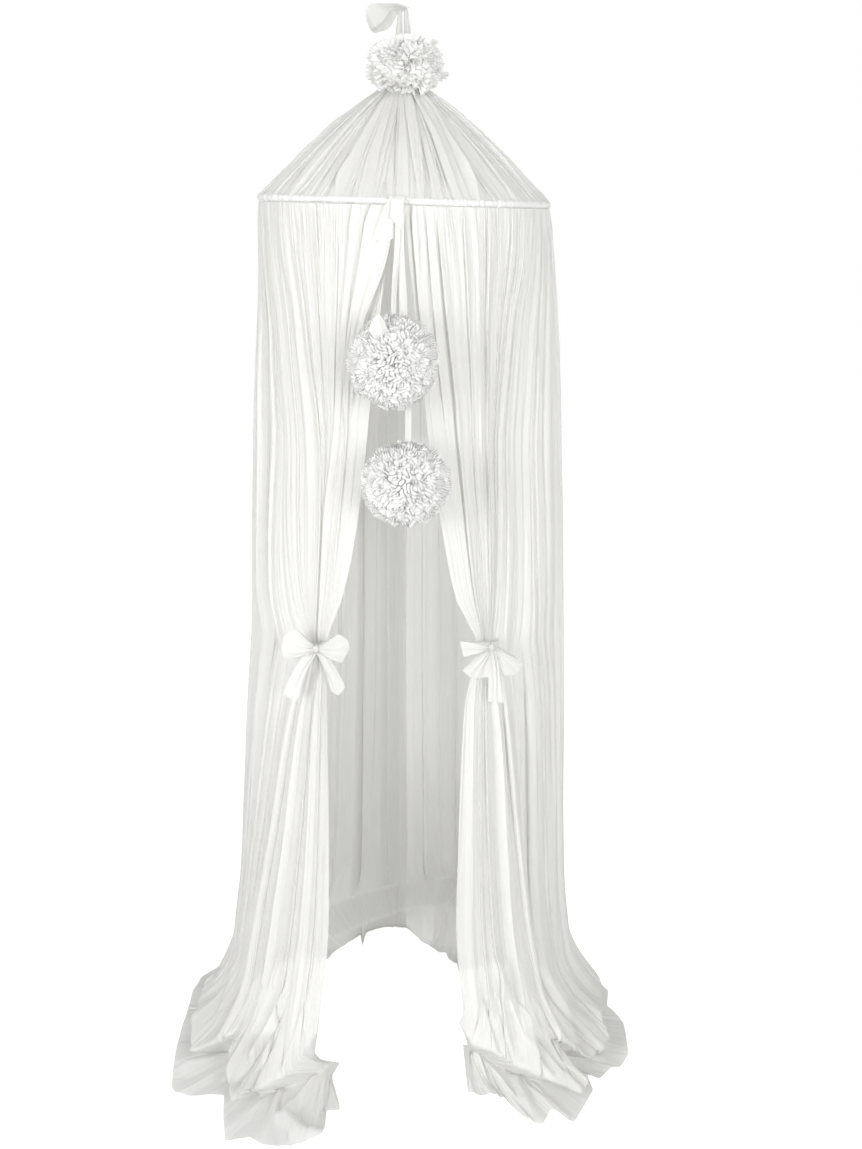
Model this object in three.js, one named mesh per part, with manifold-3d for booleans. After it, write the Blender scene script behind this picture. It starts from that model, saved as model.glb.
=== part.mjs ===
// A white tulle bed canopy: a gathered roof and two long panels on a hoop, hung from one ribbon loop.
// Millimetres, +Z up, the front towards -Y. Heights are measured from the floor that the panels
// puddle on, and the last lines move the origin up to the inside top of the hanging loop.
import * as THREE from "three";
import { mergeVertices } from "three/addons/utils/BufferGeometryUtils.js";
import Module from "manifold-3d";

const wasm = await Module();
wasm.setup();
const { degToRad, lerp, smoothstep, clamp } = THREE.MathUtils;

// Driving dimensions
const HOOK_HEIGHT = 2170;
const NECK_HEIGHT = 2044;
const HOOP_HEIGHT = 1795;
const HOOP_RADIUS = 293;
const HOOP_ROD = 9;
const HOOP_TILT = 1.57;
const TULLE = 1.2;
const RIBBON = 1.2;
const RIBBON_WIDTH = 12;

// Hoop and the ruched sleeve around it
const HOOP_STEPS = 48;
const HOOP_SIDES = 6;
const SLEEVE_RADIUS = 7;
const SLEEVE_CLOTH = 1.6;
const SLEEVE_GAP = 1.2;
const SLEEVE_RUCHE = 0.25;
const SEWN_GAP = 9;

// Panels: angles run from the front of the hoop, in degrees
const GATHERED_FOLDS = 4;
const CALM_SHARE = 0.25;
const BACK_ANGLE = 179.92;
const TILT_FADES_AT = 1200;
const FLOOR_GAP = 1.2;
const CONTACT_HEIGHT = 42;

// Bows on the panels
const BOW_HEIGHT = 925;
const BOW_REACH = 341;
const BAND = { radius: 24, width: 10, from: -40, to: 245, steps: 10 };
const KNOT_REACH = 31;
const LOBE_CROWN = 0.12;
const LOBE_ROUNDING = 0.06;

// Pompoms: half sizes, core size and the number of ruffled locks
const POMPOM_CORE = 30;
const LOCK_ROOT = 5.5;
const LOCK_TIP = 17;
const LOCK_FLATNESS = 0.38;
const LOCK_UNEVENNESS = 0.04;
const LOCK_TWIST = 1.9;
const GOLDEN_ANGLE = Math.PI * (3 - Math.sqrt(5));

// Creases sharper than this share of the cosine are bevelled.
const SHARPEST_CREASE = 0.45;

// Turns rows of numbers into objects with named columns.
function table(columns, rows) {
  return rows.map((row) => Object.fromEntries(columns.map((name, i) => [name, row[i]])));
}

// The two panels share these levels, from the sleeve down to the floor.
const LEVELS = table(
  ["height", "sideRadius", "sideDepth", "gatherRadius", "gatherDepth",
    "leftFront", "leftGather", "rightFront", "rightGather"],
  [
    [HOOP_HEIGHT - SEWN_GAP, HOOP_RADIUS, 3, HOOP_RADIUS, 3, 2.6, 31, 2.6, 38.5],
    [1540, 302, 11, 277, 9, 13.5, 34, 7.0, 37.5],
    [1360, 310, 12, 276, 10, 15.5, 37, 9.5, 37.2],
    [1170, 318, 13, 298, 12, 18.8, 40, 14.0, 37],
    [1030, 324, 14, 322, 13, 22.9, 39, 18.0, 33.5],
    [965, 327, 14, 335, 12, 26.6, 35.5, 23.2, 31.8],
    [BOW_HEIGHT, 329, 14, BOW_REACH, 11, 28.7, 33.3, 25.6, 30.9],
    [885, 331, 14, 342, 12, 27.6, 35.5, 22.8, 32.5],
    [800, 334, 15, 345, 14, 27.0, 39.5, 19.4, 35],
    [500, 348, 18, 356, 18, 25.5, 48, 16.5, 38.5],
    [330, 360, 20, 368, 20, 25.0, 53, 15.4, 40.5],
    [190, 376, 22, 390, 22, 26.0, 55, 16.5, 43],
    [100, 398, 22, 424, 22, 25.0, 52, 18.0, 45],
    [42, 424, 18, 456, 20, 24.0, 49, 18.5, 46],
  ],
);

// Folds across each panel, from the front edge to the back seam: the first four are tied in the bow.
const FOLDS = {
  left: table(["width", "depth"], [
    [1.3, 1.0], [0.8, 1.2], [1.1, 0.8], [0.8, 1.1],
    [0.8, 0.9], [1.3, 1.2], [0.7, 0.7], [1.1, 1.1], [0.9, 1.3], [1.4, 0.8],
    [0.8, 1.1], [1.2, 0.9], [0.7, 1.2], [1.1, 0.9],
  ]),
  right: table(["width", "depth"], [
    [0.9, 1.1], [1.2, 0.9], [0.8, 1.2], [1.1, 0.9],
    [1.2, 1.1], [0.7, 0.8], [1.0, 1.3], [1.3, 0.9], [0.8, 1.2], [1.1, 0.7],
    [0.8, 1.1], [1.3, 1.2], [0.9, 0.8], [1.2, 1.0],
  ]),
};
const GATHERED_SHARE = { left: 0.2, right: 0.22 };

// The hem's outline on the floor, and how high the cloth is heaped behind it.
const HEM = {
  left: table(["share", "angle", "reach", "heap"], [
    [0.0, 17, 475, 10], [0.05, 19, 590, 34], [0.11, 26, 628, 22], [0.17, 32, 660, 30],
    [0.22, 43, 560, 46], [0.3, 53, 608, 24], [0.4, 70, 530, 38], [0.55, 97, 508, 26],
    [0.7, 125, 430, 44], [0.8, 140, 290, 30], [0.9, 160, 345, 36], [1.0, BACK_ANGLE, 372, 24],
  ]),
  right: table(["share", "angle", "reach", "heap"], [
    [0.0, 17, 395, 12], [0.06, 17, 470, 30], [0.13, 26, 572, 24], [0.18, 32, 590, 40],
    [0.23, 46, 530, 30], [0.31, 58, 545, 44], [0.4, 70, 520, 26], [0.52, 88, 470, 40],
    [0.68, 118, 430, 30], [0.78, 138, 235, 40], [0.9, 163, 285, 26], [1.0, BACK_ANGLE, 340, 32],
  ]),
};
// Rows between the floor contact and the hem: share of the way out, and share of the heap's height.
const PUDDLE_ROWS = table(["out", "lift"], [[0.36, 1], [0.72, 0.55], [1, 0.06]]);

// The roof's profile, from the sleeve to the tied neck.
const ROOF_ROWS = table(["height", "radius", "depth"], [
  [HOOP_HEIGHT + SEWN_GAP, HOOP_RADIUS, 3], [1842, 253, 7], [1906, 187, 8], [1978, 102, 6],
  [2020, 42, 3], [NECK_HEIGHT, 13.5, 0.5], [2084, 13, 0.4],
]);
const ROOF_FOLDS = table(["width", "depth"], [
  [1.0, 1.0], [0.7, 1.2], [1.3, 0.8], [0.9, 1.3], [1.2, 0.9], [0.8, 1.1], [1.1, 0.7],
  [0.7, 1.2], [1.4, 1.0], [0.9, 0.8], [1.0, 1.3], [1.2, 0.9], [0.8, 1.1], [1.3, 1.2],
  [0.9, 0.7], [1.1, 1.0], [0.7, 1.3],
]);

const FABRIC = { color: 0xf5f5f2, roughness: 0.92, metalness: 0 };
const RUFFLE = { color: 0xf1f1ee, roughness: 0.95, metalness: 0 };
const RIBBON_CLOTH = { color: 0xf8f8f6, roughness: 0.85, metalness: 0 };
const HOOP_PLASTIC = { color: 0xfbfbfa, roughness: 0.45, metalness: 0 };

const canopy = new THREE.Group();

function addMesh(name, geometry, finish) {
  const mesh = new THREE.Mesh(geometry, new THREE.MeshStandardMaterial(finish));
  mesh.name = name;
  canopy.add(mesh);
  return mesh;
}

// A point on the canopy by angle from the front, radius and height; side is -1 for left, 1 for right.
function around(side, angle, radius, height) {
  const turn = degToRad(angle);
  return new THREE.Vector3(side * radius * Math.sin(turn), -radius * Math.cos(turn), height);
}

// The hoop hangs lower on its right, and the cloth next to it follows.
function tilted(point) {
  const below = (point.z - TILT_FADES_AT) / (HOOP_HEIGHT - TILT_FADES_AT);
  const above = (NECK_HEIGHT - point.z) / (NECK_HEIGHT - HOOP_HEIGHT);
  const share = clamp(Math.min(below, above, 1), 0, 1);
  point.z -= point.x * Math.tan(degToRad(HOOP_TILT)) * share;
  return point;
}

// A closed thin sheet on a grid of points; a ring joins its last column to its first.
function sheetSolid(grid, thickness, ring = false) {
  const rows = grid.length;
  const columns = grid[0].length;
  const across = ring ? columns : columns - 1;
  const normals = grid.map((row) => row.map(() => []));
  for (let r = 0; r < rows - 1; r++) {
    for (let c = 0; c < across; c++) {
      const d = (c + 1) % columns;
      const first = grid[r + 1][d].clone().sub(grid[r][c]);
      const second = grid[r][d].clone().sub(grid[r + 1][c]);
      const normal = first.cross(second).normalize();
      for (const corner of [normals[r][c], normals[r + 1][c], normals[r][d], normals[r + 1][d]]) {
        corner.push(normal);
      }
    }
  }
  const points = [[], []];
  grid.forEach((row, r) => row.forEach((point, c) => {
    const faces = normals[r][c];
    const mean = faces.reduce((sum, face) => sum.add(face), new THREE.Vector3()).normalize();
    const facing = faces.reduce((sum, face) => sum + face.dot(mean), 0) / faces.length;
    const offset = mean.multiplyScalar(thickness / 2 / Math.max(facing, SHARPEST_CREASE));
    points[0].push(point.clone().add(offset));
    points[1].push(point.clone().sub(offset));
  }));
  const front = (r, c) => r * columns + (c % columns);
  const back = (r, c) => rows * columns + front(r, c);
  const index = [];
  const quad = (a, b, c, d) => index.push(a, b, c, a, c, d);
  for (let r = 0; r < rows - 1; r++) {
    for (let c = 0; c < across; c++) {
      quad(front(r, c), front(r + 1, c), front(r + 1, c + 1), front(r, c + 1));
      quad(back(r, c), back(r, c + 1), back(r + 1, c + 1), back(r + 1, c));
    }
    if (!ring) {
      quad(front(r + 1, 0), front(r, 0), back(r, 0), back(r + 1, 0));
      quad(front(r, across), front(r + 1, across), back(r + 1, across), back(r, across));
    }
  }
  for (let c = 0; c < across; c++) {
    quad(front(0, c), front(0, c + 1), back(0, c + 1), back(0, c));
    quad(front(rows - 1, c + 1), front(rows - 1, c), back(rows - 1, c), back(rows - 1, c + 1));
  }
  const geometry = new THREE.BufferGeometry().setFromPoints(points.flat());
  geometry.setIndex(index);
  return geometry;
}

// Joins closed pieces into one.
function toSolid(geometry) {
  const bare = geometry.clone();
  bare.deleteAttribute("normal");
  bare.deleteAttribute("uv");
  const merged = mergeVertices(bare, 1e-4);
  return new wasm.Manifold(new wasm.Mesh({
    numProp: 3,
    vertProperties: Float32Array.from(merged.attributes.position.array),
    triVerts: Uint32Array.from(merged.index.array),
  }));
}

function join(pieces) {
  const mesh = pieces.map(toSolid).reduce((whole, piece) => whole.add(piece)).getMesh();
  const geometry = new THREE.BufferGeometry();
  geometry.setAttribute("position", new THREE.BufferAttribute(mesh.vertProperties, 3));
  geometry.setIndex(new THREE.BufferAttribute(mesh.triVerts, 1));
  return geometry;
}

// Four columns for each fold, as shares of the cloth's width, with the fold's rise and fall.
function foldColumns(folds) {
  const total = folds.reduce((sum, fold) => sum + fold.width, 0);
  const columns = [];
  let start = 0;
  for (const { width, depth } of folds) {
    for (const phase of [0, 0.25, 0.5, 0.75]) {
      const share = (start + width * phase) / total;
      columns.push({ share, wave: depth * Math.cos(2 * Math.PI * phase) });
    }
    start += width;
  }
  return columns;
}

// Columns of a panel: the gathered folds take their own share of the cloth.
function panelColumns(folds, gatheredShare) {
  const gathered = foldColumns(folds.slice(0, GATHERED_FOLDS));
  const rest = foldColumns(folds.slice(GATHERED_FOLDS));
  return [
    ...gathered.map(({ share, wave }) => ({ share: share * gatheredShare, wave })),
    ...rest.map(({ share, wave }) => ({ share: lerp(gatheredShare, 1, share), wave })),
    { share: 1, wave: folds.at(-1).depth },
  ];
}

// A table's columns at a share of the cloth, in straight steps between its rows.
function alongHem(hem, share) {
  const next = Math.max(1, hem.findIndex((row) => row.share >= share));
  const [before, after] = [hem[next - 1], hem[next]];
  const part = (share - before.share) / (after.share - before.share);
  const value = (name) => lerp(before[name], after[name], part);
  return { angle: value("angle"), reach: value("reach"), heap: value("heap") };
}

// One panel: it hangs from the sleeve, narrows at its bow, and spreads over the floor.
function panel(name, side) {
  const gatheredShare = GATHERED_SHARE[name];
  const columns = panelColumns(FOLDS[name], gatheredShare);
  const place = (level, share) => {
    const [front, gather] = [level[`${name}Front`], level[`${name}Gather`]];
    const calm = smoothstep(share, gatheredShare, gatheredShare + CALM_SHARE);
    const past = (share - gatheredShare) / (1 - gatheredShare);
    return {
      angle: past < 0 ? lerp(front, gather, share / gatheredShare) : lerp(gather, BACK_ANGLE, past),
      radius: lerp(level.gatherRadius, level.sideRadius, calm),
      depth: lerp(level.gatherDepth, level.sideDepth, calm),
    };
  };
  const hanging = LEVELS.map((level) => columns.map(({ share, wave }) => {
    const { angle, radius, depth } = place(level, share);
    return tilted(around(side, angle, radius + depth * wave, level.height));
  }));
  const lowest = LEVELS.at(-1);
  const lying = PUDDLE_ROWS.map(({ out, lift }) => columns.map(({ share, wave }) => {
    const start = place(lowest, share);
    const hem = alongHem(HEM[name], share);
    const ridge = hem.heap * lift * (0.5 + 0.5 * wave);
    const settled = CONTACT_HEIGHT * (1 - out) ** 2;
    const radius = lerp(start.radius + start.depth * wave * (1 - out), hem.reach, out);
    return around(side, lerp(start.angle, hem.angle, out), radius, FLOOR_GAP + settled + Math.max(ridge, 0));
  }));
  return sheetSolid([...hanging, ...lying], TULLE);
}

// The roof: one gathered ring of cloth from the sleeve up to the neck.
function roof() {
  const columns = foldColumns(ROOF_FOLDS);
  return sheetSolid(ROOF_ROWS.map(({ height, radius, depth }) => columns.map(({ share, wave }) => (
    tilted(around(1, 360 * share, radius + depth * wave, height))
  ))), TULLE, true);
}

// The sleeve is a tube of cloth on the hoop, open for a finger's width at the front tie.
function sleeve() {
  const rows = [];
  for (let step = 0; step <= HOOP_STEPS; step++) {
    const angle = lerp(SLEEVE_GAP, 360 - SLEEVE_GAP, step / HOOP_STEPS);
    const puff = SLEEVE_RADIUS + SLEEVE_RUCHE * Math.sin(step * GOLDEN_ANGLE);
    const row = [];
    for (let corner = 0; corner < HOOP_SIDES; corner++) {
      const turn = 2 * Math.PI * corner / HOOP_SIDES;
      row.push(around(1, angle, HOOP_RADIUS + puff * Math.cos(turn), puff * Math.sin(turn)));
    }
    rows.push(row);
  }
  return sheetSolid(rows, SLEEVE_CLOTH, true);
}

// A ribbon along a route, with its width across X and three points to each row.
function ribbonAlong(route, width) {
  const curve = new THREE.CatmullRomCurve3(route.map((point) => new THREE.Vector3(...point)));
  return sheetSolid(curve.getPoints(2 * route.length).map((point) => (
    [-0.5, 0, 0.5].map((share) => point.clone().add(new THREE.Vector3(share * width, 0, 0)))
  )), RIBBON);
}

// A bow's loop or tail, from its root at the knot, facing -Y. The angle turns from +X towards +Z.
function bowLobe({ kind, angle, length, width, root, rise }) {
  const turn = degToRad(angle);
  const along = new THREE.Vector3(Math.cos(turn), 0, Math.sin(turn));
  const across = new THREE.Vector3(-Math.sin(turn), 0, Math.cos(turn));
  const steps = kind === "loop" ? 6 : 4;
  const rows = [];
  for (let step = 0; step <= steps; step++) {
    const way = step / steps;
    const out = kind === "loop" ? Math.sin(Math.PI * way) : way;
    const lift = kind === "loop" ? rise * Math.cos(Math.PI * way) : rise * Math.sin(Math.PI * way);
    const half = lerp(root, width, out ** 0.8) / 2;
    rows.push([-1, 0, 1].map((share) => new THREE.Vector3()
      .addScaledVector(along, length * out * (1 - LOBE_ROUNDING * share * share))
      .addScaledVector(across, half * share)
      .add(new THREE.Vector3(0, -lift - LOBE_CROWN * half * (1 - Math.abs(share)), 0))));
  }
  return sheetSolid(rows, RIBBON);
}

const LOBE_COLUMNS = ["kind", "angle", "length", "width", "root", "rise"];
const BOWS = {
  left: {
    side: -1,
    angle: 31,
    lobes: table(LOBE_COLUMNS, [
      ["loop", 172, 68, 56, 12, 6], ["loop", 0, 68, 52, 12, 6],
      ["tail", 241, 110, 34, 9, 4], ["tail", 296, 98, 32, 9, 5],
    ]),
  },
  right: {
    side: 1,
    angle: 28.2,
    lobes: table(LOBE_COLUMNS, [
      ["loop", 180, 66, 36, 12, 6], ["loop", 322, 80, 38, 12, 6],
      ["tail", 226, 70, 44, 9, 5], ["tail", 275, 118, 38, 9, 4],
    ]),
  },
};

// The band holds the gathered cloth and stays open where the panel leaves it for the side.
function bowBand(side) {
  const rows = [-0.5, 0.5].map((share) => {
    const row = [];
    for (let step = 0; step <= BAND.steps; step++) {
      const turn = degToRad(lerp(BAND.from, BAND.to, step / BAND.steps));
      const sideways = -side * BAND.radius * Math.sin(turn);
      row.push(new THREE.Vector3(sideways, -BAND.radius * Math.cos(turn), share * BAND.width));
    }
    return row;
  });
  return sheetSolid(rows, RIBBON);
}

function knot(width, depth, height) {
  return new THREE.SphereGeometry(0.5, 8, 6).scale(width, depth, height);
}

function bow({ side, lobes }) {
  const forward = (geometry) => geometry.translate(0, -KNOT_REACH, 0);
  const tied = lobes.map((lobe) => forward(bowLobe(lobe)));
  return join([bowBand(side), forward(knot(17, 18, 20)), ...tied]);
}

// A pompom of ruffled locks on a core. Locks that would cross a clear line are left out.
function pompom({ halfSize, count, core, rootAt, leavesClear, shorten = () => 1 }) {
  const up = new THREE.Vector3(0, 1, 0);
  const locks = [];
  for (let i = 0; i < count; i++) {
    const rise = 1 - 2 * (i + 0.5) / count;
    const turn = i * GOLDEN_ANGLE;
    const flat = Math.sqrt(1 - rise * rise);
    const direction = new THREE.Vector3(flat * Math.cos(turn), flat * Math.sin(turn), rise);
    const reach = 1 - LOCK_UNEVENNESS * (1 - Math.cos(turn));
    const tip = direction.clone().multiply(halfSize).multiplyScalar(reach);
    tip.multiplyScalar(shorten(tip));
    const root = rootAt(direction);
    if (!leavesClear(direction, tip)) {
      continue;
    }
    const length = tip.distanceTo(root);
    const toTip = tip.clone().sub(root).normalize();
    locks.push(new THREE.CylinderGeometry(LOCK_TIP, LOCK_ROOT, length, 4, 1)
      .scale(1, 1, LOCK_FLATNESS)
      .rotateY(LOCK_TWIST * i)
      .applyQuaternion(new THREE.Quaternion().setFromUnitVectors(up, toTip))
      .translate(...tip.add(root).multiplyScalar(0.5)));
  }
  return join([core, ...locks]);
}

// True when a lock, which widens to its tip, stays off an upright line beside the pompom's centre.
function clearOfLine(tip, x, y, room) {
  return [0.4, 0.7, 1].every((share) => (
    Math.hypot(tip.x * share - x, tip.y * share - y) > room + lerp(LOCK_ROOT, LOCK_TIP, share)
  ));
}

// Hoop and sleeve lie in one tilted plane.
const ring = new THREE.Group();
ring.position.z = HOOP_HEIGHT;
ring.rotation.y = degToRad(HOOP_TILT);
canopy.add(ring);
const hoop = new THREE.TorusGeometry(HOOP_RADIUS, HOOP_ROD / 2, HOOP_SIDES, HOOP_STEPS);
ring.add(addMesh("hoop", hoop, HOOP_PLASTIC));
ring.add(addMesh("hoop_sleeve", sleeve(), FABRIC));

addMesh("roof", roof(), FABRIC);
addMesh("panel_left", panel("left", -1), FABRIC);
addMesh("panel_right", panel("right", 1), FABRIC);

for (const [name, details] of Object.entries(BOWS)) {
  const mesh = addMesh(`bow_${name}`, bow(details), RIBBON_CLOTH);
  mesh.position.copy(around(details.side, details.angle, BOW_REACH, BOW_HEIGHT));
  mesh.rotation.z = details.side * degToRad(details.angle);
}

// Pompoms on the front: each centre is where its core hangs.
const POMPOMS = table(["name", "x", "y", "height", "halfWidth", "halfHeight", "count"], [
  ["pompom_upper", -18, -360, 1493, 88, 88, 42],
  ["pompom_lower", 2, -358, 1256, 87, 84, 42],
]);
const LONG_RIBBON = { x: 7, y: -327 };
const RIBBON_ROOM = 8;
for (const { name, x, y, height, halfWidth, halfHeight, count } of POMPOMS) {
  const halfSize = new THREE.Vector3(halfWidth, halfWidth, halfHeight);
  const rootAt = (direction) => direction.clone().multiplyScalar(POMPOM_CORE - LOCK_ROOT);
  const passes = name === "pompom_upper";
  const leavesClear = (direction, tip) => (
    (direction.z < 0 || clearOfLine(tip, 0, 0, RIBBON_ROOM))
    && (!passes || clearOfLine(tip, LONG_RIBBON.x - x, LONG_RIBBON.y - y, RIBBON_ROOM))
  );
  const core = new THREE.IcosahedronGeometry(POMPOM_CORE, 1);
  const solid = pompom({ halfSize, count, core, rootAt, leavesClear });
  addMesh(name, solid, RUFFLE).position.set(x, y, height);
}

// The top pompom is tied to the front of the neck, and its lower locks spread over the roof.
const TOP = { x: 5, y: -46, height: 2057, core: 21, halfWidth: 76, halfHeight: 55, count: 40 };
const NECK_ROOM = 14;
const ROOF_ROOM = 28;

function roofRadius(height) {
  const next = clamp(ROOF_ROWS.findIndex((row) => row.height >= height), 1, ROOF_ROWS.length - 1);
  const [below, above] = [ROOF_ROWS[next - 1], ROOF_ROWS[next]];
  return lerp(below.radius, above.radius, (height - below.height) / (above.height - below.height));
}

function clearOfRoof(direction, tip) {
  const away = Math.hypot(tip.x + TOP.x, tip.y + TOP.y) - roofRadius(tip.z + TOP.height);
  return clearOfLine(tip, -TOP.x, -TOP.y, NECK_ROOM) && (direction.z > 0 || away > ROOF_ROOM);
}

// The locks at the back end at a slope that passes in front of the hanging loop's foot.
const LOOP_FOOT = new THREE.Vector3(0, -22, 2090);
const SLOPE = new THREE.Vector3(0, 0.8, 0.6);
const slopeAway = LOOP_FOOT.sub(new THREE.Vector3(0, TOP.y, TOP.height)).dot(SLOPE) - LOCK_TIP;
const shortenAtSlope = (tip) => Math.min(1, slopeAway / Math.max(tip.dot(SLOPE), 1));

const topSize = new THREE.Vector3(TOP.halfWidth, TOP.halfWidth, TOP.halfHeight);
const topRoot = (direction) => direction.clone().multiplyScalar(TOP.core - LOCK_ROOT);
const topCore = new THREE.IcosahedronGeometry(TOP.core, 1);
const topSolid = pompom({
  halfSize: topSize,
  count: TOP.count,
  core: topCore,
  rootAt: topRoot,
  leavesClear: clearOfRoof,
  shorten: shortenAtSlope,
});
addMesh("pompom_top", topSolid, RUFFLE).position.set(TOP.x, TOP.y, TOP.height);

// Ribbons that carry the pompoms, from under the front tie to their cores.
addMesh("ribbon_short", ribbonAlong([
  [-5, -309, 1783], [-7, -310, 1720], [-13, -335, 1610], [-18, -360, 1525],
], RIBBON_WIDTH), RIBBON_CLOTH);
addMesh("ribbon_long", ribbonAlong([
  [8, -309, 1783], [8, -310, 1720], [7, -322, 1600], [LONG_RIBBON.x, LONG_RIBBON.y, 1540],
  [LONG_RIBBON.x, LONG_RIBBON.y, 1430], [5, -340, 1350], [2, -358, 1288],
], RIBBON_WIDTH), RIBBON_CLOTH);

// The front tie: a band under the hoop, a knot and two short ends.
const TIE_BAND = { radius: 11.5, from: -55, to: 150, steps: 8 };
const tieRows = [];
for (let step = 0; step <= TIE_BAND.steps; step++) {
  const turn = degToRad(lerp(TIE_BAND.from, TIE_BAND.to, step / TIE_BAND.steps));
  const height = -TIE_BAND.radius * Math.sin(turn);
  const depth = -TIE_BAND.radius * Math.cos(turn);
  tieRows.push([-0.5, 0, 0.5].map((share) => new THREE.Vector3(share * RIBBON_WIDTH, depth, height)));
}
const tieEnds = table(LOBE_COLUMNS, [["tail", 246, 78, 38, 9, 5], ["tail", 285, 56, 27, 9, 6]]);
const tieForward = (geometry) => geometry.translate(0, -20, 0);
const tie = join([
  sheetSolid(tieRows, RIBBON),
  tieForward(knot(20, 18, 20)),
  ...tieEnds.map((lobe) => tieForward(bowLobe(lobe))),
]);
addMesh("front_tie", tie, RIBBON_CLOTH).position.set(0, -HOOP_RADIUS, HOOP_HEIGHT);

// The hanging loop: two strands that rise from the neck and meet over the hook, with a free end.
const LOOP_ROUTE = [
  [-10.5, 2087], [-10, 2115], [-8.5, 2145], [-7.5, 2162], [-5.4, 2169.5], [0, 2173],
  [5.4, 2169.5], [7.5, 2162], [8.5, 2145], [10, 2115], [10.5, 2087],
];
const STRAND = { width: 10, thickness: 6 };
const strands = sheetSolid(LOOP_ROUTE.map(([x, z]) => (
  [-0.5, 0.5].map((share) => new THREE.Vector3(x, share * STRAND.width, z))
)), STRAND.thickness);
const [loopEnd] = table(LOBE_COLUMNS, [["tail", 206, 74, 50, 12, 10]]);
const looseEnd = bowLobe(loopEnd).translate(-2, -3, 2170);
addMesh("hanging_loop", join([strands, looseEnd]), RIBBON_CLOTH);

canopy.position.z = -HOOK_HEIGHT;

export default canopy;
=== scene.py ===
# %% [markdown]
# # A tulle bed canopy on a hoop
# A ruched hoop hangs from a ribbon loop under a gathered cone of tulle. Two long panels fall from
# it, are tied back with bows, and lie in puddles on the floor. Two ruffled pompoms hang in front.
# The measured solids come in first and stay as they are: every cloth piece below is a thin sheet
# that takes the place of one of them.

# %% The frame
import math

import bpy
import numpy as np
from mathutils import Matrix, Vector


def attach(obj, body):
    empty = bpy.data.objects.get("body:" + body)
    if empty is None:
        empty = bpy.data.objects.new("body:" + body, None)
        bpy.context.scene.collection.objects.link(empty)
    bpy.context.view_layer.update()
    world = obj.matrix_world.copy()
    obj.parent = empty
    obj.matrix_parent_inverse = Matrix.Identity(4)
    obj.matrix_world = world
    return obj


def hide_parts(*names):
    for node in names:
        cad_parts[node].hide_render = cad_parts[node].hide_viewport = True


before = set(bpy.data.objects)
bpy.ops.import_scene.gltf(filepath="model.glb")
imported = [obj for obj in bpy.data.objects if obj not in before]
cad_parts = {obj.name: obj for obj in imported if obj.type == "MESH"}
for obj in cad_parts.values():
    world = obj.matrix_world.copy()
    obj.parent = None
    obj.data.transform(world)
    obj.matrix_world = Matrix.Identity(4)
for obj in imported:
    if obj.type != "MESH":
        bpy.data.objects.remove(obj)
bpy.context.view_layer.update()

# %% [markdown]
# ## The camera
# The hoop is seen edge-on, so the eye is at the hoop's height, and a normal lens looks a little down
# to take in the hems. Heights are easier to think of from the floor, so one value gives the height of
# the hanging loop's top above it and turns floor heights into the frame's z.

# %% Camera
LOOP_HEIGHT = 2.170
EYE = (0.0, -3.368, 1.795 - LOOP_HEIGHT)
LOOK_DOWN = math.radians(13.17)
LOOK_RIGHT = math.radians(0.944)

scene = bpy.context.scene
lens = bpy.data.cameras.new("camera")
lens.lens = 50
lens.sensor_fit = "VERTICAL"
lens.sensor_height = 36
camera = bpy.data.objects.new("camera", lens)
camera.location = EYE
camera.rotation_euler = (math.pi / 2 - LOOK_DOWN, 0, -LOOK_RIGHT)
scene.collection.objects.link(camera)
scene.camera = camera
print("camera", round(-EYE[1], 2), "m in front of the hoop's middle")

# %% [markdown]
# ## Floor and light
# White cloth on white needs light that is even but not flat: a sky that is bright all round and dimmer
# overhead, broad lamps from the front, and a floor pale enough to vanish except where the hems shade it.
# The sky that the camera sees is plain white, and a Light Path node keeps it apart from the sky that
# lights the cloth. The floor's glow is kept for the camera in the same way.

# %% Sky
SKY_ROUND, SKY_OVERHEAD = 0.93, 0.36
scene.view_settings.view_transform = "Standard"


def fill(tree, node, values):
    """Sets some inputs of a node, or links them where the value is another node's output."""
    for label, value in values.items():
        if isinstance(value, bpy.types.NodeSocket):
            tree.links.new(value, node.inputs[label])
        else:
            node.inputs[label].default_value = value
    return node


def add_node(tree, kind, values=None):
    return fill(tree, tree.nodes.new("ShaderNode" + kind), values or {})


world = bpy.data.worlds.new("studio")
world.use_nodes = True
scene.world = world
sky = world.node_tree
sky.nodes.clear()
way = add_node(sky, "TexCoord")
up = add_node(sky, "SeparateXYZ", {0: way.outputs["Generated"]}).outputs["Z"]
dimmer = add_node(sky, "MapRange", {"Value": up, "To Min": SKY_ROUND, "To Max": SKY_OVERHEAD})
lit = add_node(sky, "Background", {"Color": (1.0, 1.0, 0.995, 1), "Strength": dimmer.outputs[0]})
seen = add_node(sky, "Background", {"Color": (1, 1, 1, 1)})
from_camera = add_node(sky, "LightPath").outputs["Is Camera Ray"]
choice = add_node(sky, "MixShader", {"Fac": from_camera, 1: lit.outputs[0], 2: seen.outputs[0]})
add_node(sky, "OutputWorld", {"Surface": choice.outputs[0]})
print("sky of", len(sky.nodes), "nodes, strength", SKY_ROUND, "all round and", SKY_OVERHEAD, "overhead")

# %% Lamps and floor
def lamp(name, place, aim, size, power, fan):
    data = bpy.data.lights.new(name, "AREA")
    data.shape = "DISK"
    data.size = size
    data.energy = power
    data.spread = math.radians(fan)
    light = bpy.data.objects.new(name, data)
    light.location = place
    light.rotation_euler = (Vector(aim) - Vector(place)).to_track_quat("-Z", "Y").to_euler()
    scene.collection.objects.link(light)


def new_material(name, values):
    """A material, its node tree, and its Principled shader with some inputs set."""
    material = bpy.data.materials.new(name)
    material.use_nodes = True
    tree = material.node_tree
    return material, tree, fill(tree, tree.nodes["Principled BSDF"], values)


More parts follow.
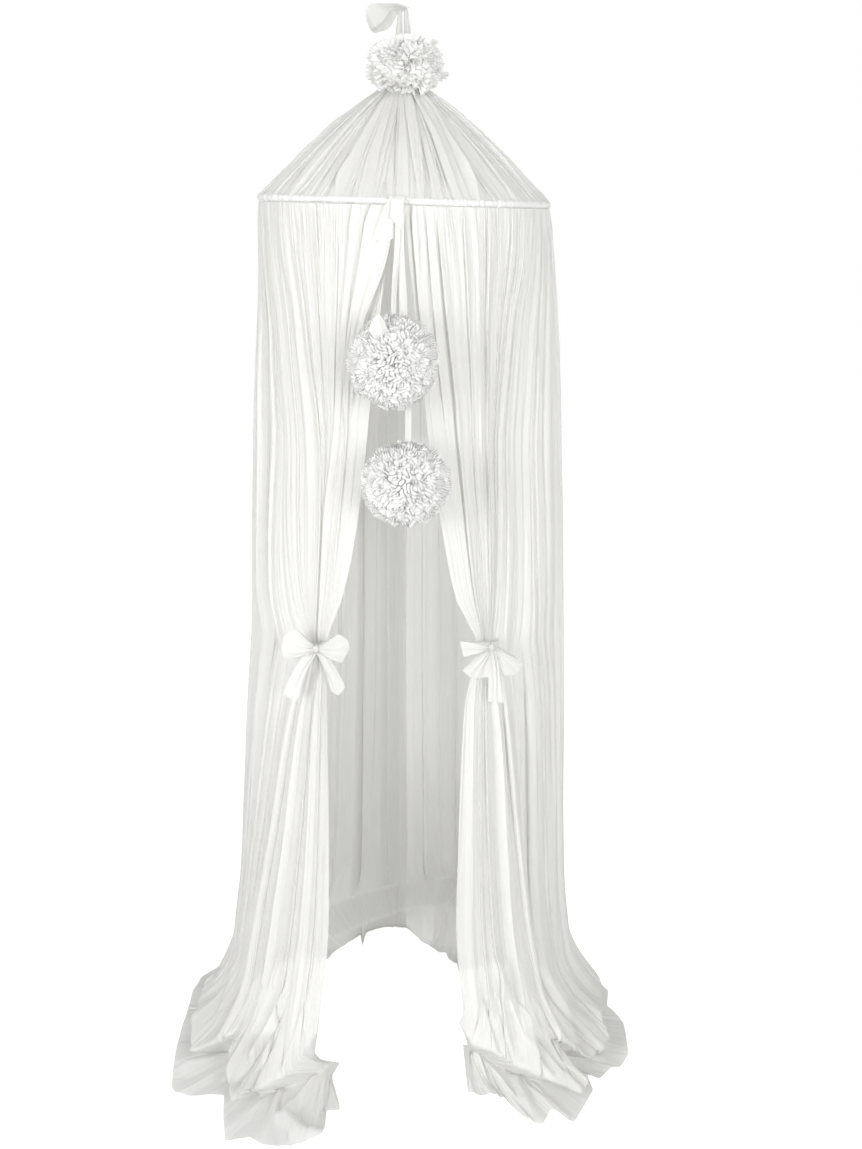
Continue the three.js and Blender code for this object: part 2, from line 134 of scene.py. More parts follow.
FLOOR_HALF_WIDTH = 9
lamp("front_left", (-2.2, -3.1, -0.45), (0, 0, -0.90), 1.6, 24.2, 110)
lamp("front_right", (1.2, -3.6, -0.45), (0, 0, -0.90), 1.6, 23.4, 110)
lamp("upper_front", (0.9, -2.6, 1.2), (0, 0, -0.20), 0.9, 0.36, 24)

floor_mesh = bpy.data.meshes.new("floor")
corners = [(FLOOR_HALF_WIDTH * x, FLOOR_HALF_WIDTH * y, 0) for x, y in ((-1, -1), (1, -1), (1, 1), (-1, 1))]
floor_mesh.from_pydata(corners, [], [(0, 1, 2, 3)])
floor = bpy.data.objects.new("floor", floor_mesh)
floor.location.z = -LOOP_HEIGHT
scene.collection.objects.link(floor)
plain_white = {"Base Color": (0.8, 0.8, 0.8, 1), "Roughness": 0.9, "Specular IOR Level": 0.1}
paint, tree, shader = new_material("floor_white", plain_white)
white = add_node(tree, "Emission", {"Strength": 0.8})
glow = add_node(tree, "AddShader", {0: shader.outputs[0], 1: white.outputs[0]})
from_camera = add_node(tree, "LightPath").outputs["Is Camera Ray"]
only_seen = add_node(tree, "MixShader", {"Fac": from_camera, 1: shader.outputs[0], 2: glow.outputs[0]})
fill(tree, tree.nodes["Material Output"], {"Surface": only_seen.outputs[0]})
floor_mesh.materials.append(paint)

# %% [markdown]
# ## Net and creases, shared by every cloth
# Tulle is a net of hexagonal holes about 1.3 mm apart. Three sets of waves, 120 degrees apart, add up
# to a pattern of round holes, so one node group makes the net from flat cloth sizes in metres. A second
# group draws out a noise along the cloth into soft creases that are finer than the mesh. Both are
# built once and placed in each material with its own sizes.

# %% Node groups
CLOTH_MAP = "cloth"


def start_group(name, inputs, outputs):
    group = bpy.data.node_groups.new(name, "ShaderNodeTree")
    for label, value in inputs.items():
        socket = group.interface.new_socket(label, in_out="INPUT", socket_type="NodeSocketFloat")
        socket.default_value = value
    for label in outputs:
        group.interface.new_socket(label, in_out="OUTPUT", socket_type="NodeSocketFloat")
    return group, group.nodes.new("NodeGroupInput"), group.nodes.new("NodeGroupOutput")


def calc(tree, operation, *values):
    node = add_node(tree, "Math")
    node.operation = operation
    return fill(tree, node, dict(enumerate(values))).outputs[0]


def flat_place(tree):
    cloth_map = add_node(tree, "UVMap")
    cloth_map.uv_map = CLOTH_MAP
    parts = add_node(tree, "SeparateXYZ", {0: cloth_map.outputs["UV"]})
    return parts.outputs["X"], parts.outputs["Y"]


def make_net():
    group, given, result = start_group("net_holes", {"Pitch": 0.0013, "Open": 0.5}, ["Thread"])
    across, along = flat_place(group)
    turn = calc(group, "DIVIDE", 2 * math.pi, given.outputs["Pitch"])
    total = None
    for angle in (0, 120, 240):
        part_across = calc(group, "MULTIPLY", across, math.cos(math.radians(angle)))
        part_along = calc(group, "MULTIPLY", along, math.sin(math.radians(angle)))
        line = calc(group, "ADD", part_across, part_along)
        wave = calc(group, "COSINE", calc(group, "MULTIPLY", line, turn))
        total = wave if total is None else calc(group, "ADD", total, wave)
    edge = calc(group, "SUBTRACT", 1.6, calc(group, "MULTIPLY", given.outputs["Open"], 2.4))
    near = calc(group, "SUBTRACT", total, edge)
    hole = calc(group, "MULTIPLY_ADD", near, 0.8, 0.5)
    hole.node.use_clamp = True
    group.links.new(calc(group, "SUBTRACT", 1.0, hole), result.inputs["Thread"])
    return group


def make_creases():
    sizes = {"Across": 0.012, "Along": 0.3, "Bend": 0.1}
    group, given, result = start_group("fine_creases", sizes, ["Height"])
    across, along = flat_place(group)
    drift = add_node(group, "TexNoise", {"Scale": 5, "Detail": 1})
    drift.noise_dimensions = "1D"
    group.links.new(along, drift.inputs["W"])
    moved = calc(group, "MULTIPLY_ADD", drift.outputs[0], given.outputs["Bend"], across)
    scaled_across = calc(group, "DIVIDE", moved, given.outputs["Across"])
    scaled_along = calc(group, "DIVIDE", along, given.outputs["Along"])
    spot = add_node(group, "CombineXYZ", {"X": scaled_across, "Y": scaled_along})
    noise = add_node(group, "TexNoise", {"Scale": 1, "Detail": 2})
    noise.noise_dimensions = "2D"
    group.links.new(spot.outputs[0], noise.inputs["Vector"])
    group.links.new(noise.outputs[0], result.inputs["Height"])
    return group


NET, CREASES = make_net(), make_creases()
print("groups:", NET.name, "and", CREASES.name)

# %% [markdown]
# ## Tulle, ruffle and ribbon
# All the cloth is the same white net, seen in one layer on the panels, crowded in the pompoms and
# doubled in the ribbons. Each is a Principled shader whose Alpha comes from the net, and from a value on
# each point that counts layers of net. On the back of the panels that value also paints shade, and light,
# by making the net more or less see-through. A part of it is Translucent, because light that falls
# on the back of tulle glows through to the front. The hanging loop is a closer ribbon with a greyer colour,
# which is painted shade for the top of the canopy, where less light falls.

# %% Cloth materials
# Each point's count of extra net layers; on the back of the panels it also carries painted shade and painted
# light.
LAYERS_AND_SHADE = "layers_and_shade"


def place_group(tree, group, **values):
    node = add_node(tree, "Group")
    node.node_tree = group
    return fill(tree, node, values)


def cloth_material(name, colour, glow, solid, sheer, crease, depth, pitch=0.0013):
    """Cloth that lets light through: its net goes from sheer in the holes to solid on the threads."""
    material, tree, shader = new_material(name, {
        "Base Color": (*colour, 1), "Roughness": 0.85, "Specular IOR Level": 0.15,
        "Sheen Weight": 0.08, "Sheen Roughness": 0.5})
    net = place_group(tree, NET, Pitch=pitch, Open=0.5)
    alpha = calc(tree, "MULTIPLY_ADD", net.outputs["Thread"], solid - sheer, sheer)
    # The layer count read here also carries painted shade and painted light on the back of the panels.
    more = add_node(tree, "Attribute")
    more.attribute_name = LAYERS_AND_SHADE
    layers_and_shade = calc(tree, "ADD", more.outputs["Fac"], 1.0)
    clear = calc(tree, "POWER", calc(tree, "SUBTRACT", 1.0, alpha), layers_and_shade)
    fine = place_group(tree, CREASES, **crease)
    bump = add_node(tree, "Bump", {"Strength": 1.0, "Distance": depth, "Height": fine.outputs["Height"]})
    normal = bump.outputs["Normal"]
    fill(tree, shader, {"Alpha": calc(tree, "SUBTRACT", 1.0, clear), "Normal": normal})
    warmer = (colour[0], 0.995 * colour[1], 0.98 * colour[2], 1)
    through = add_node(tree, "BsdfTranslucent", {"Color": warmer, "Normal": normal})
    both = add_node(tree, "MixShader", {"Fac": glow, 1: shader.outputs[0], 2: through.outputs[0]})
    fill(tree, tree.nodes["Material Output"], {"Surface": both.outputs[0]})
    return material


TULLE = cloth_material("tulle", (0.90, 0.90, 0.885), 0.26, 0.96, 0.56,
                       dict(Across=0.016, Along=0.90, Bend=0.02), 0.0030)
RUFFLE = cloth_material("ruffle", (0.915, 0.915, 0.905), 0.24, 1.0, 0.90,
                        dict(Across=0.004, Along=0.02, Bend=0.02), 0.0010)
RIBBON = cloth_material("ribbon", (0.87, 0.87, 0.857), 0.34, 0.98, 0.80,
                        dict(Across=0.005, Along=0.05, Bend=0.02), 0.0008, pitch=0.0009)
CASING = cloth_material("casing", (0.88, 0.88, 0.87), 0.15, 1.0, 0.92,
                        dict(Across=0.005, Along=0.03, Bend=0.02), 0.0005, pitch=0.0009)
# The loop's greyer colour is painted shade: it is ribbon, given a darker colour because less light reaches
# the top of the canopy.
LOOP_PAINTED_SHADE = cloth_material("loop_ribbon", (0.66, 0.66, 0.64), 0.12, 1.0, 0.95,
                      dict(Across=0.004, Along=0.05, Bend=0.02), 0.0008, pitch=0.0009)
print("cloth materials:", ", ".join(cloth.name for cloth in (TULLE, RUFFLE, RIBBON, CASING, LOOP_PAINTED_SHADE)))

# %% [markdown]
# ## Sheets from tables
# Every cloth is worked out as a grid of points, one row after another down the cloth. Two helpers do
# the shared work: one draws a smooth curve through a short table of measured values, and one turns
# a grid into a mesh with smooth faces and a map of its flat sizes in metres, which the net reads.

# %% Smooth tables and sheet meshes
def through_table(at, places, values):
    """A smooth curve through the table's points that doesn't swing past them."""
    at, places, values = (np.asarray(v, float) for v in (at, places, values))
    step = np.diff(places)
    slope = np.diff(values) / step
    tangent = np.concatenate([[slope[0]], np.zeros(len(slope) - 1), [slope[-1]]])
    same_way = slope[:-1] * slope[1:] > 0
    before, after = slope[:-1][same_way], slope[1:][same_way]
    tangent[1:-1][same_way] = 2 * before * after / (before + after)
    at = np.clip(at, places[0], places[-1])
    i = np.clip(np.searchsorted(places, at, side="right") - 1, 0, len(step) - 1)
    t = (at - places[i]) / step[i]
    return ((1 + 2 * t) * (1 - t) ** 2 * values[i] + t * (1 - t) ** 2 * step[i] * tangent[i]
            + t * t * (3 - 2 * t) * values[i + 1] - t * t * (1 - t) * step[i] * tangent[i + 1])


def sheet_faces(rows, columns, ring=False):
    index = np.arange(rows * columns).reshape(rows, columns)
    right = np.roll(index, -1, axis=1)
    if not ring:
        index, right = index[:, :-1], right[:, :-1]
    return np.stack([index[:-1], right[:-1], right[1:], index[1:]], axis=-1).reshape(-1, 4)


def make_piece(name, grids, material, rings=()):
    """One mesh from grids of points, each with its flat width and length."""
    points, faces, flat_points, start = [], [], [], 0
    for n, (grid, width, length) in enumerate(grids):
        rows, columns = grid.shape[:2]
        quads = sheet_faces(rows, columns, n in rings)
        down = (np.linspace(0, length, rows) if np.isscalar(length) else length)[:, None]
        over = (np.linspace(0, width, columns) if np.isscalar(width) else width)[None, :]
        points.append(grid.reshape(-1, 3))
        flat_points.append(np.stack(np.broadcast_arrays(over, down), -1).reshape(-1, 2))
        faces.append(quads + start)
        start += rows * columns
    points, faces, flat_points = map(np.concatenate, (points, faces, flat_points))
    mesh = bpy.data.meshes.new(name)
    mesh.from_pydata(points.tolist(), [], faces.tolist())
    mesh.uv_layers.new(name=CLOTH_MAP).data.foreach_set("uv", flat_points[faces.reshape(-1)].reshape(-1))
    mesh.polygons.foreach_set("use_smooth", np.ones(len(faces), bool))
    mesh.materials.append(material)
    piece = bpy.data.objects.new(name, mesh)
    scene.collection.objects.link(piece)
    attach(piece, "root")
    return piece


def area_of(piece):
    return sum(face.area for face in piece.data.polygons)


print("a square of four points makes", len(sheet_faces(2, 2)), "face")

# %% [markdown]
# ## The hoop and its ruched sleeve
# A plastic rod bent into a ring runs in a casing of tulle that is pushed together into small ruches.
# A torus with a displacement texture could fake them, but a tube whose radius follows a seeded row of
# ridges has real shadows. On a short stretch at the front left the casing is pulled smooth.

# %% Hoop and sleeve
HOOP_HEIGHT, HOOP_RADIUS, HOOP_ROD = 1.795, 0.293, 0.009
HOOP_TILT = math.radians(1.57)
rng = np.random.default_rng(11)


def hoop_drop(x):
    """The hoop hangs a little lower on the right."""
    return -x * math.tan(HOOP_TILT)


def hoop_tube(turns, around, thickness):
    """Rows run round the hoop, columns round the rod."""
    turn, spin = turns[:, None], around[None, :]
    reach = HOOP_RADIUS + thickness * np.cos(spin)
    x, y = reach * np.sin(turn), -reach * np.cos(turn)
    z = HOOP_HEIGHT - LOOP_HEIGHT + thickness * np.sin(spin) + hoop_drop(x)
    return np.stack([x, y, z], -1)


def hoop_plastic():
    material, tree, shader = new_material("hoop_plastic", {"Base Color": (0.93, 0.93, 0.915, 1)})
    noise = add_node(tree, "TexNoise", {"Scale": 300})
    fill(tree, shader, {"Roughness": calc(tree, "MULTIPLY_ADD", noise.outputs[0], 0.2, 0.3)})
    return material


ring = np.linspace(0, 2 * math.pi, 241)
round_rod = np.linspace(0, 2 * math.pi, 15)[:-1]
rod = hoop_tube(ring, round_rod, np.full((len(ring), 1), HOOP_ROD / 2))
hoop = make_piece("hoop_rod", [(rod, 0.03, 1.84)], hoop_plastic(), rings=[0])
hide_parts("hoop")

RUCHES = 240
SLEEVE_TURNS = np.linspace(math.radians(0.6), math.radians(359.4), 1300)
SMOOTH_FROM, SMOOTH_TO = math.radians(322), math.radians(357)


def smooth_step(value, low, high):
    t = np.clip((value - low) / (high - low), 0, 1)
    return t * t * (3 - 2 * t)


def between(value, start, full, ease, end):
    """Rises from 0 at the start to 1 when full, stays there, and eases back to 0 at the end."""
    return smooth_step(value, start, full) * (1 - smooth_step(value, ease, end))


def sleeve_grid():
    turns, round_it = SLEEVE_TURNS, np.linspace(0, 2 * math.pi, 17)
    pitch = rng.uniform(0.6, 1.4, RUCHES)
    places = np.cumsum(pitch) / pitch.sum() * 2 * math.pi
    lean = rng.uniform(-0.014, 0.014, RUCHES)
    height = rng.uniform(0.0014, 0.0034, RUCHES)
    bulge = np.zeros((len(turns), len(round_it)))
    for place, tilt, rise, wide in zip(places, lean, height, pitch):
        off = turns[:, None] - place - tilt * np.cos(round_it)[None, :]
        bulge = np.maximum(bulge, rise * (1 - (off / (0.017 * wide)) ** 2))
    taut = between(turns, SMOOTH_FROM - 0.03, SMOOTH_FROM + 0.03, SMOOTH_TO - 0.02, SMOOTH_TO)
    thickness = (0.0048 + 0.0003 * taut)[:, None] + bulge * (1 - 0.93 * taut)[:, None]
    return hoop_tube(turns, round_it, thickness)


CASING_WIDTH, CASING_MAP_LENGTH = 0.045, 2.6  # the map is longer than the cloth, so its net is drawn finer
sleeve = make_piece("hoop_casing", [(sleeve_grid(), CASING_WIDTH, CASING_MAP_LENGTH)], CASING)
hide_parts("hoop_sleeve")
print("casing", len(sleeve.data.polygons), "faces, cloth", round(area_of(sleeve), 3), "square metres")

# %% [markdown]
# ## Crease lines
# Gathered tulle shows smooth bands with thin crisp lines between them: each line is the edge of a fold
# that lies a little over its neighbour. A sine wave would look like a radiator. So a crease here is a
# line along the cloth with a raised fold on one side and a narrow trough on the other. The fold also
# slips over the trough, so its edge really overlaps and casts a shadow. A seeded row of such lines fades
# and merges as real gathers do.

# %% Crease lines
CREASE_STEP, SLANT_STEP, LIP, WANDER = 0.0005, 0.004, 0.7, 0.001


def crease_shape(across, down, lines):
    """Rise along the normal and slip sideways. Each line: place, depth, trough and fold width,
    start, end, drift, ease, side."""
    shape = np.broadcast_shapes(across.shape, down.shape)
    rise, slip = np.zeros(shape), np.zeros(shape)
    for place, depth, trough, fold, start, end, drift, ease, side in lines:
        off = side * (across - place - drift * (down - start) - WANDER * np.sin(9 * down + 50 * place))
        shown = depth * between(down, start - ease, start + ease, end - ease, end + ease)
        step = CREASE_STEP + SLANT_STEP * abs(drift)
        over = 1 / (1 + np.exp(-np.clip(off / step, -30, 30)))
        crest = over * np.clip(1 - off / fold, 0, 1)
        rise += shown * (crest - (1 - over) * np.clip(1 + off / trough, 0, 1))
        slip -= side * LIP * shown * crest
    return rise - rise.mean(axis=1, keepdims=True), slip


def crease_row(rng, count, low, high, depth, trough, fold, start, length, drift):
    """Lines shared out unevenly from low to high; every pair is the range of a seeded value."""
    pitch = rng.uniform(0.55, 1.45, count)
    places = low + (high - low) * (np.cumsum(pitch) - pitch / 2) / pitch.sum()
    lines = []
    for place in places:
        first = rng.uniform(*start)
        lines.append((place, rng.uniform(*depth), rng.uniform(*trough), rng.uniform(*fold), first,
                      first + rng.uniform(*length), rng.uniform(-drift, drift), rng.uniform(0.04, 0.15),
                      rng.choice([-1, 1])))
    return lines


def unit(vectors):
    """The same directions, each of length 1."""
    return vectors / np.maximum(np.linalg.norm(vectors, axis=-1, keepdims=True), 1e-9)


def creased(grid, rise, slip):
    """Moves the points of a grid along its normals and along its rows."""
    across = np.gradient(grid, axis=1)
    normal = np.cross(across, np.gradient(grid, axis=0))
    return grid + unit(normal) * rise[..., None] + unit(across) * slip[..., None]


sample = [(0.5, 0.01, 0.003, 0.01, 0, 1, 0, 0.1, 1)]
rise, slip = crease_shape(np.array([[0.49, 0.51]]), np.array([[0.5]]), sample)
print("10 mm crease, either side of its line:", rise.round(4).tolist(), slip.round(4).tolist())

# %% [markdown]
# ## The gathered roof
# The roof is one ring of tulle, sewn to the casing and drawn together at the neck, so its folds run
# down the cone and are no two alike. The cone's outline and the folds' depth come from a table. Long
# crease lines run from the neck to the casing, and finer ones start further down.

# %% Roof
NECK_HEIGHT, ROOF_FOLDS = 2.044, 17
ROOF_ROWS = np.array([  # height, radius, fold depth
    (1.800, 0.296, 0.0025), (1.842, 0.250, 0.007), (1.906, 0.181, 0.009),
    (1.978, 0.094, 0.009), (2.020, 0.038, 0.0050), (NECK_HEIGHT, 0.0135, 0.0008), (2.084, 0.013, 0.0006),
])


def roof_grid():
    rng = np.random.default_rng(23)
    columns, rows = 1180, 48
    share = np.linspace(0, 1, columns)[None, :]
    down = np.linspace(0, 1, rows)[:, None]
    height = through_table(down[:, 0], np.linspace(0, 1, len(ROOF_ROWS)), ROOF_ROWS[::-1, 0])
    radius = through_table(height, ROOF_ROWS[:, 0], ROOF_ROWS[:, 1])[:, None]
    depth = through_table(height, ROOF_ROWS[:, 0], ROOF_ROWS[:, 2])[:, None]
    folds = rng.uniform(0.6, 1.4, ROOF_FOLDS)
    edges = np.concatenate([[0], np.cumsum(folds) / folds.sum()])
    wave = np.cos(2 * math.pi * np.interp(share, edges, np.arange(len(edges)))) * 0.5
    lines = crease_row(rng, 58, 0, 1, depth=(1.0, 1.9), trough=(0.003, 0.006), fold=(0.009, 0.018),
                       start=(-0.5, 0.0), length=(1.3, 2.0), drift=0.008)
    lines += crease_row(rng, 110, 0, 1, depth=(0.5, 1.2), trough=(0.0015, 0.003), fold=(0.003, 0.006),
                        start=(0.35, 0.85), length=(0.6, 1.0), drift=0.02)
    lines += [(line[0] + turn, *line[1:]) for line in lines for turn in (-1, 1)]
    rise, slip = crease_shape(share, down, lines)
    reach = radius + depth * (wave + rise)
    angle = 2 * math.pi * share + depth * slip / radius
    angle[:, -1] = angle[:, 0] + 2 * math.pi
    reach[:, -1] = reach[:, 0]
    x, y = reach * np.sin(angle), -reach * np.cos(angle)
    tilt = hoop_drop(x) * np.clip((NECK_HEIGHT - height[:, None]) / (NECK_HEIGHT - HOOP_HEIGHT), 0, 1)
    return np.stack([x, y, height[:, None] - LOOP_HEIGHT + tilt], -1)


roof = make_piece("gathered_roof", [(roof_grid(), 3.6, 0.42)], TULLE)
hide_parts("roof")
print("roof", len(roof.data.polygons) * 2, "triangles, cloth", round(area_of(roof), 3), "square metres")

# %% [markdown]
# ## The long panels: how they hang
# Each panel goes from the front opening round to the middle of the back. Its front third is drawn
# together at the bow. A table of levels gives, for each height, the radius and fold depth of the side
# and the radius of the gathered part. The panel is thought of as strands, and a second table follows the
# edge of each one down the levels, in degrees from the front; the last one keeps the folds at the side
# upright. A third gives each main fold's width and depth, as uneven as they hang.

# %% Panel tables
LEVEL_COLUMNS = ("height", "left_side", "right_side", "side_depth", "gather_radius")
LEVELS = dict(zip(LEVEL_COLUMNS, np.array([
    (1.787, 0.294, 0.294, 0.0025, 0.294), (1.690, 0.296, 0.302, 0.005, 0.290),
    (1.540, 0.302, 0.310, 0.008, 0.277), (1.360, 0.310, 0.317, 0.010, 0.276),
    (1.170, 0.315, 0.324, 0.011, 0.298), (1.030, 0.318, 0.328, 0.012, 0.322),
    (0.965, 0.319, 0.330, 0.012, 0.335), (0.925, 0.320, 0.331, 0.012, 0.341),
    (0.885, 0.322, 0.332, 0.012, 0.344), (0.800, 0.328, 0.333, 0.013, 0.350),
    (0.500, 0.348, 0.335, 0.016, 0.368), (0.330, 0.360, 0.338, 0.018, 0.382),
    (0.190, 0.376, 0.350, 0.020, 0.402),
])[::-1].T))
STRANDS = {  # share of the width where a strand ends, then its angle from the front at each level, downwards
    "left": ((0, 2.6, 6.3, 10.8, 15.3, 18.8, 22.9, 26.6, 28.7, 27.6, 27.0, 25.5, 25.0, 26.0),
             (0.020, 3.2, 6.9, 18.6, 23.0, 24.4, 25.6, 27.9, 29.1, 28.0, 27.7, 26.8, 26.6, 27.6),
             (0.052, 11.6, 15.4, 21.2, 25.0, 27.5, 28.6, 29.3, 29.7, 28.8, 28.8, 28.8, 29.1, 30.2),
             (0.092, 19.5, 20.9, 25.2, 28.8, 31.8, 31.4, 31.3, 30.5, 29.7, 30.2, 31.3, 32.2, 33.5),
             (0.252, 47.3, 46.0, 43.8, 38.5, 34.8, 33.2, 32.5, 31.9, 33.2, 35.8, 41.4, 44.8, 46.5),
             (0.357, 65.5, 64.2, 61.8, 57.5, 51.5, 44.0, 37.8, 33.3, 35.5, 39.5, 48.0, 53.0, 55.0),
             (0.620, 112, 111.5, 110, 108.5, 107, 106, 105.6, 105.4, 105.3, 105.2, 105, 105, 105)),
    "right": ((0, 0.4, 1.8, 5.6, 9.3, 14.0, 18.0, 23.2, 25.6, 22.8, 19.4, 16.5, 15.4, 16.5),
              (0.014, 3.2, 4.7, 7.4, 11.2, 15.8, 19.6, 24.0, 26.0, 23.4, 20.5, 18.0, 17.1, 18.1),
              (0.054, 12.1, 14.6, 18.6, 22.5, 24.5, 25.8, 27.0, 27.3, 25.6, 24.0, 22.5, 22.2, 23.0),
              (0.172, 33.1, 34.3, 36.0, 36.5, 34.6, 32.0, 30.2, 29.2, 28.9, 29.4, 30.3, 31.0, 32.8),
              (0.281, 52.4, 52.0, 48.5, 44.0, 39.6, 35.0, 32.4, 30.9, 32.5, 35.0, 38.5, 40.5, 43.0),
              (0.594, 108, 107.5, 106.5, 105.5, 104.8, 104.2, 104, 103.8, 103.6, 103.5, 103.3, 103.2, 103)),
}
FOLDS = {  # width and depth of each main fold of the ungathered part
    "left": ((0.8, 0.9), (1.3, 1.2), (0.7, 0.7), (1.1, 1.1), (0.9, 1.3), (1.4, 0.8),
             (0.8, 1.1), (1.2, 0.9), (0.7, 1.2), (1.1, 0.9)),
    "right": ((1.2, 1.1), (0.7, 0.8), (1.0, 1.3), (1.3, 0.9), (0.8, 1.2), (1.1, 0.7),
              (0.8, 1.1), (1.3, 1.2), (0.9, 0.8), (1.2, 1.0)),
}
GATHERED_SHARE = {name: strands[-2][0] for name, strands in STRANDS.items()}
CALM_SHARE = ((0.19, 0.85, 1.05, 1.787), (0.04, 0.04, 0.18, 0.18))  # by height, between gathers and side
SIDE = {"left": -1, "right": 1}
print(len(LEVELS["height"]), "levels and", len(FOLDS["left"]), "main folds on each panel")

# %% Hanging shape
def fold_wave(name, share):
    """The main folds, with broad crests and narrower hollows, and how they lean sideways."""
    widths, depths = np.array(FOLDS[name]).T
    limit = GATHERED_SHARE[name]
    edges = np.concatenate([[limit], limit + np.cumsum(widths) / widths.sum() * (1 - limit)])
    phase = np.interp(share, edges, np.arange(len(edges)))
    depth = np.interp(share, (edges[1:] + edges[:-1]) / 2, depths)
    crest = np.interp(phase % 1, (0, 0.22, 0.42, 0.55, 0.80, 1), (1, 0.75, -1, -0.9, 0.8, 1))
    return depth * crest, depth * np.sin(2 * math.pi * phase)


def level(column, height):
    return through_table(height, LEVELS["height"], LEVELS[column])[:, None]


def hanging(name, heights, shares):
    """Points of a panel at some heights above the floor, from its front edge to the back seam."""
    limit, share = GATHERED_SHARE[name], shares[None, :]
    strands = np.array(STRANDS[name])
    ends = [through_table(heights, LEVELS["height"], angles[::-1]) for angles in strands[:, 1:]]
    lines = np.array([*ends, np.full(len(heights), 180.0)])
    angle = np.array([np.interp(shares, [*strands[:, 0], 1], row) for row in lines.T])
    calm = smooth_step(share, limit, limit + through_table(heights, *CALM_SHARE)[:, None])
    radius = level("gather_radius", heights) * (1 - calm) + level(name + "_side", heights) * calm
    depth = level("side_depth", heights) * calm
    wave, lean = fold_wave(name, share)
    reach = radius + depth * wave
    turn = np.radians(angle) + 0.35 * depth * lean / radius * (share < 0.97)
    x, y = SIDE[name] * reach * np.sin(turn), -reach * np.cos(turn)
    height = heights[:, None]
    tilt = hoop_drop(x) * np.clip((height - 1.2) / (HOOP_HEIGHT - 1.2), 0, 1)
    return np.stack([x, y, height - LOOP_HEIGHT + tilt], -1)


FLOOR_FOLDS_FROM = 0.19
shares = {name: np.concatenate([np.linspace(0, limit, 320, endpoint=False), np.linspace(limit, 1, 480)])
          for name, limit in GATHERED_SHARE.items()}
heights = through_table(np.linspace(0, 1, 58), (0, 0.16, 1), (1.787, 1.68, FLOOR_FOLDS_FROM))
upper = {name: hanging(name, heights, shares[name]) for name in SIDE}
print("hanging part:", upper["left"].shape[0], "rows of", upper["left"].shape[1], "points")

# %% [markdown]
# ## The puddles, folded at given corners
# The panels are longer than the drop. Near the floor the folds sweep forwards and outwards to a fold
# edge, the cloth turns back under it, and then it lies flat out to the hem, all in large angular facets.
# A cloth simulation melts those into soft heaps, so the fold edge and the hem are two short tables of
# corners instead, and straight lines between the corners give the facets. Straight-sided ridges run
# out to the hem, and a few more folds slant across the part that lies flat.

# %% Puddle tables
EDGE = {  # share of the width, angle from the front, reach, height of the fold edge
    "left": ((0, 27, 0.405, 0.120), (0.055, 29, 0.440, 0.085), (0.105, 30, 0.485, 0.060),
             (0.17, 34, 0.550, 0.045), (0.23, 37, 0.600, 0.030), (0.255, 42, 0.555, 0.050),
             (0.275, 47, 0.515, 0.070), (0.305, 47, 0.500, 0.085), (0.34, 50, 0.475, 0.090),
             (0.37, 54, 0.515, 0.060), (0.395, 58, 0.550, 0.035), (0.43, 67, 0.515, 0.060),
             (0.47, 77, 0.480, 0.060), (0.51, 85, 0.465, 0.060), (0.575, 98, 0.455, 0.040),
             (0.63, 106, 0.440, 0.060), (0.695, 118, 0.425, 0.035), (0.76, 129, 0.410, 0.050),
             (0.84, 146, 0.400, 0.070), (0.92, 163, 0.405, 0.085), (1, 180, 0.405, 0.110)),
    "right": ((0, 16, 0.380, 0.140), (0.04, 19, 0.405, 0.100), (0.09, 24, 0.440, 0.090),
              (0.155, 29, 0.460, 0.065), (0.2, 34, 0.510, 0.045), (0.235, 39, 0.570, 0.020),
              (0.255, 42, 0.570, 0.030), (0.27, 39, 0.510, 0.060), (0.28, 42, 0.475, 0.100),
              (0.305, 48, 0.490, 0.050), (0.325, 50, 0.515, 0.030), (0.365, 59, 0.515, 0.045),
              (0.395, 62, 0.480, 0.080), (0.445, 75, 0.460, 0.050), (0.52, 90, 0.450, 0.050),
              (0.595, 103, 0.440, 0.040), (0.67, 117, 0.425, 0.055), (0.74, 131, 0.405, 0.060),
              (0.815, 146, 0.400, 0.110), (0.91, 163, 0.405, 0.130), (1, 180, 0.405, 0.110)),
}
HEM = {  # share of the width, angle from the front, reach of the hem
    "left": ((0, 27, 0.315), (0.02, 25, 0.375), (0.035, 16, 0.485), (0.055, 20, 0.505), (0.07, 16, 0.59),
             (0.105, 21, 0.64), (0.145, 26, 0.65), (0.17, 29, 0.64), (0.215, 32, 0.675), (0.25, 37, 0.615),
             (0.295, 43, 0.555), (0.33, 46, 0.595), (0.365, 50, 0.625), (0.375, 53, 0.615), (0.42, 66, 0.55),
             (0.485, 82, 0.505), (0.56, 95, 0.5), (0.615, 103, 0.5), (0.68, 114, 0.46), (0.735, 124, 0.38),
             (0.77, 135, 0.27), (0.815, 144, 0.295), (0.845, 150, 0.31), (0.88, 158, 0.34), (0.9, 161, 0.36),
             (0.91, 156, 0.265), (0.915, 163, 0.365), (0.94, 168, 0.39), (0.96, 172, 0.4), (1, 180, 0.38)),
    "right": ((0, 31, 0.235), (0.02, 17, 0.425), (0.045, 19, 0.44), (0.095, 25, 0.475), (0.13, 25, 0.56),
              (0.16, 27, 0.595), (0.185, 31, 0.56), (0.21, 33, 0.615), (0.255, 44, 0.555), (0.285, 48, 0.51),
              (0.305, 48, 0.54), (0.325, 53, 0.535), (0.345, 55, 0.55), (0.37, 61, 0.545), (0.41, 70, 0.515),
              (0.445, 76, 0.5), (0.495, 84, 0.46), (0.56, 93, 0.47), (0.63, 106, 0.44), (0.695, 118, 0.39),
              (0.74, 129, 0.25), (0.77, 135, 0.175), (0.815, 144, 0.205), (0.85, 152, 0.215),
              (0.88, 157, 0.245), (0.9, 161, 0.24), (0.935, 168, 0.27), (0.965, 173, 0.29), (1, 180, 0.38)),
}
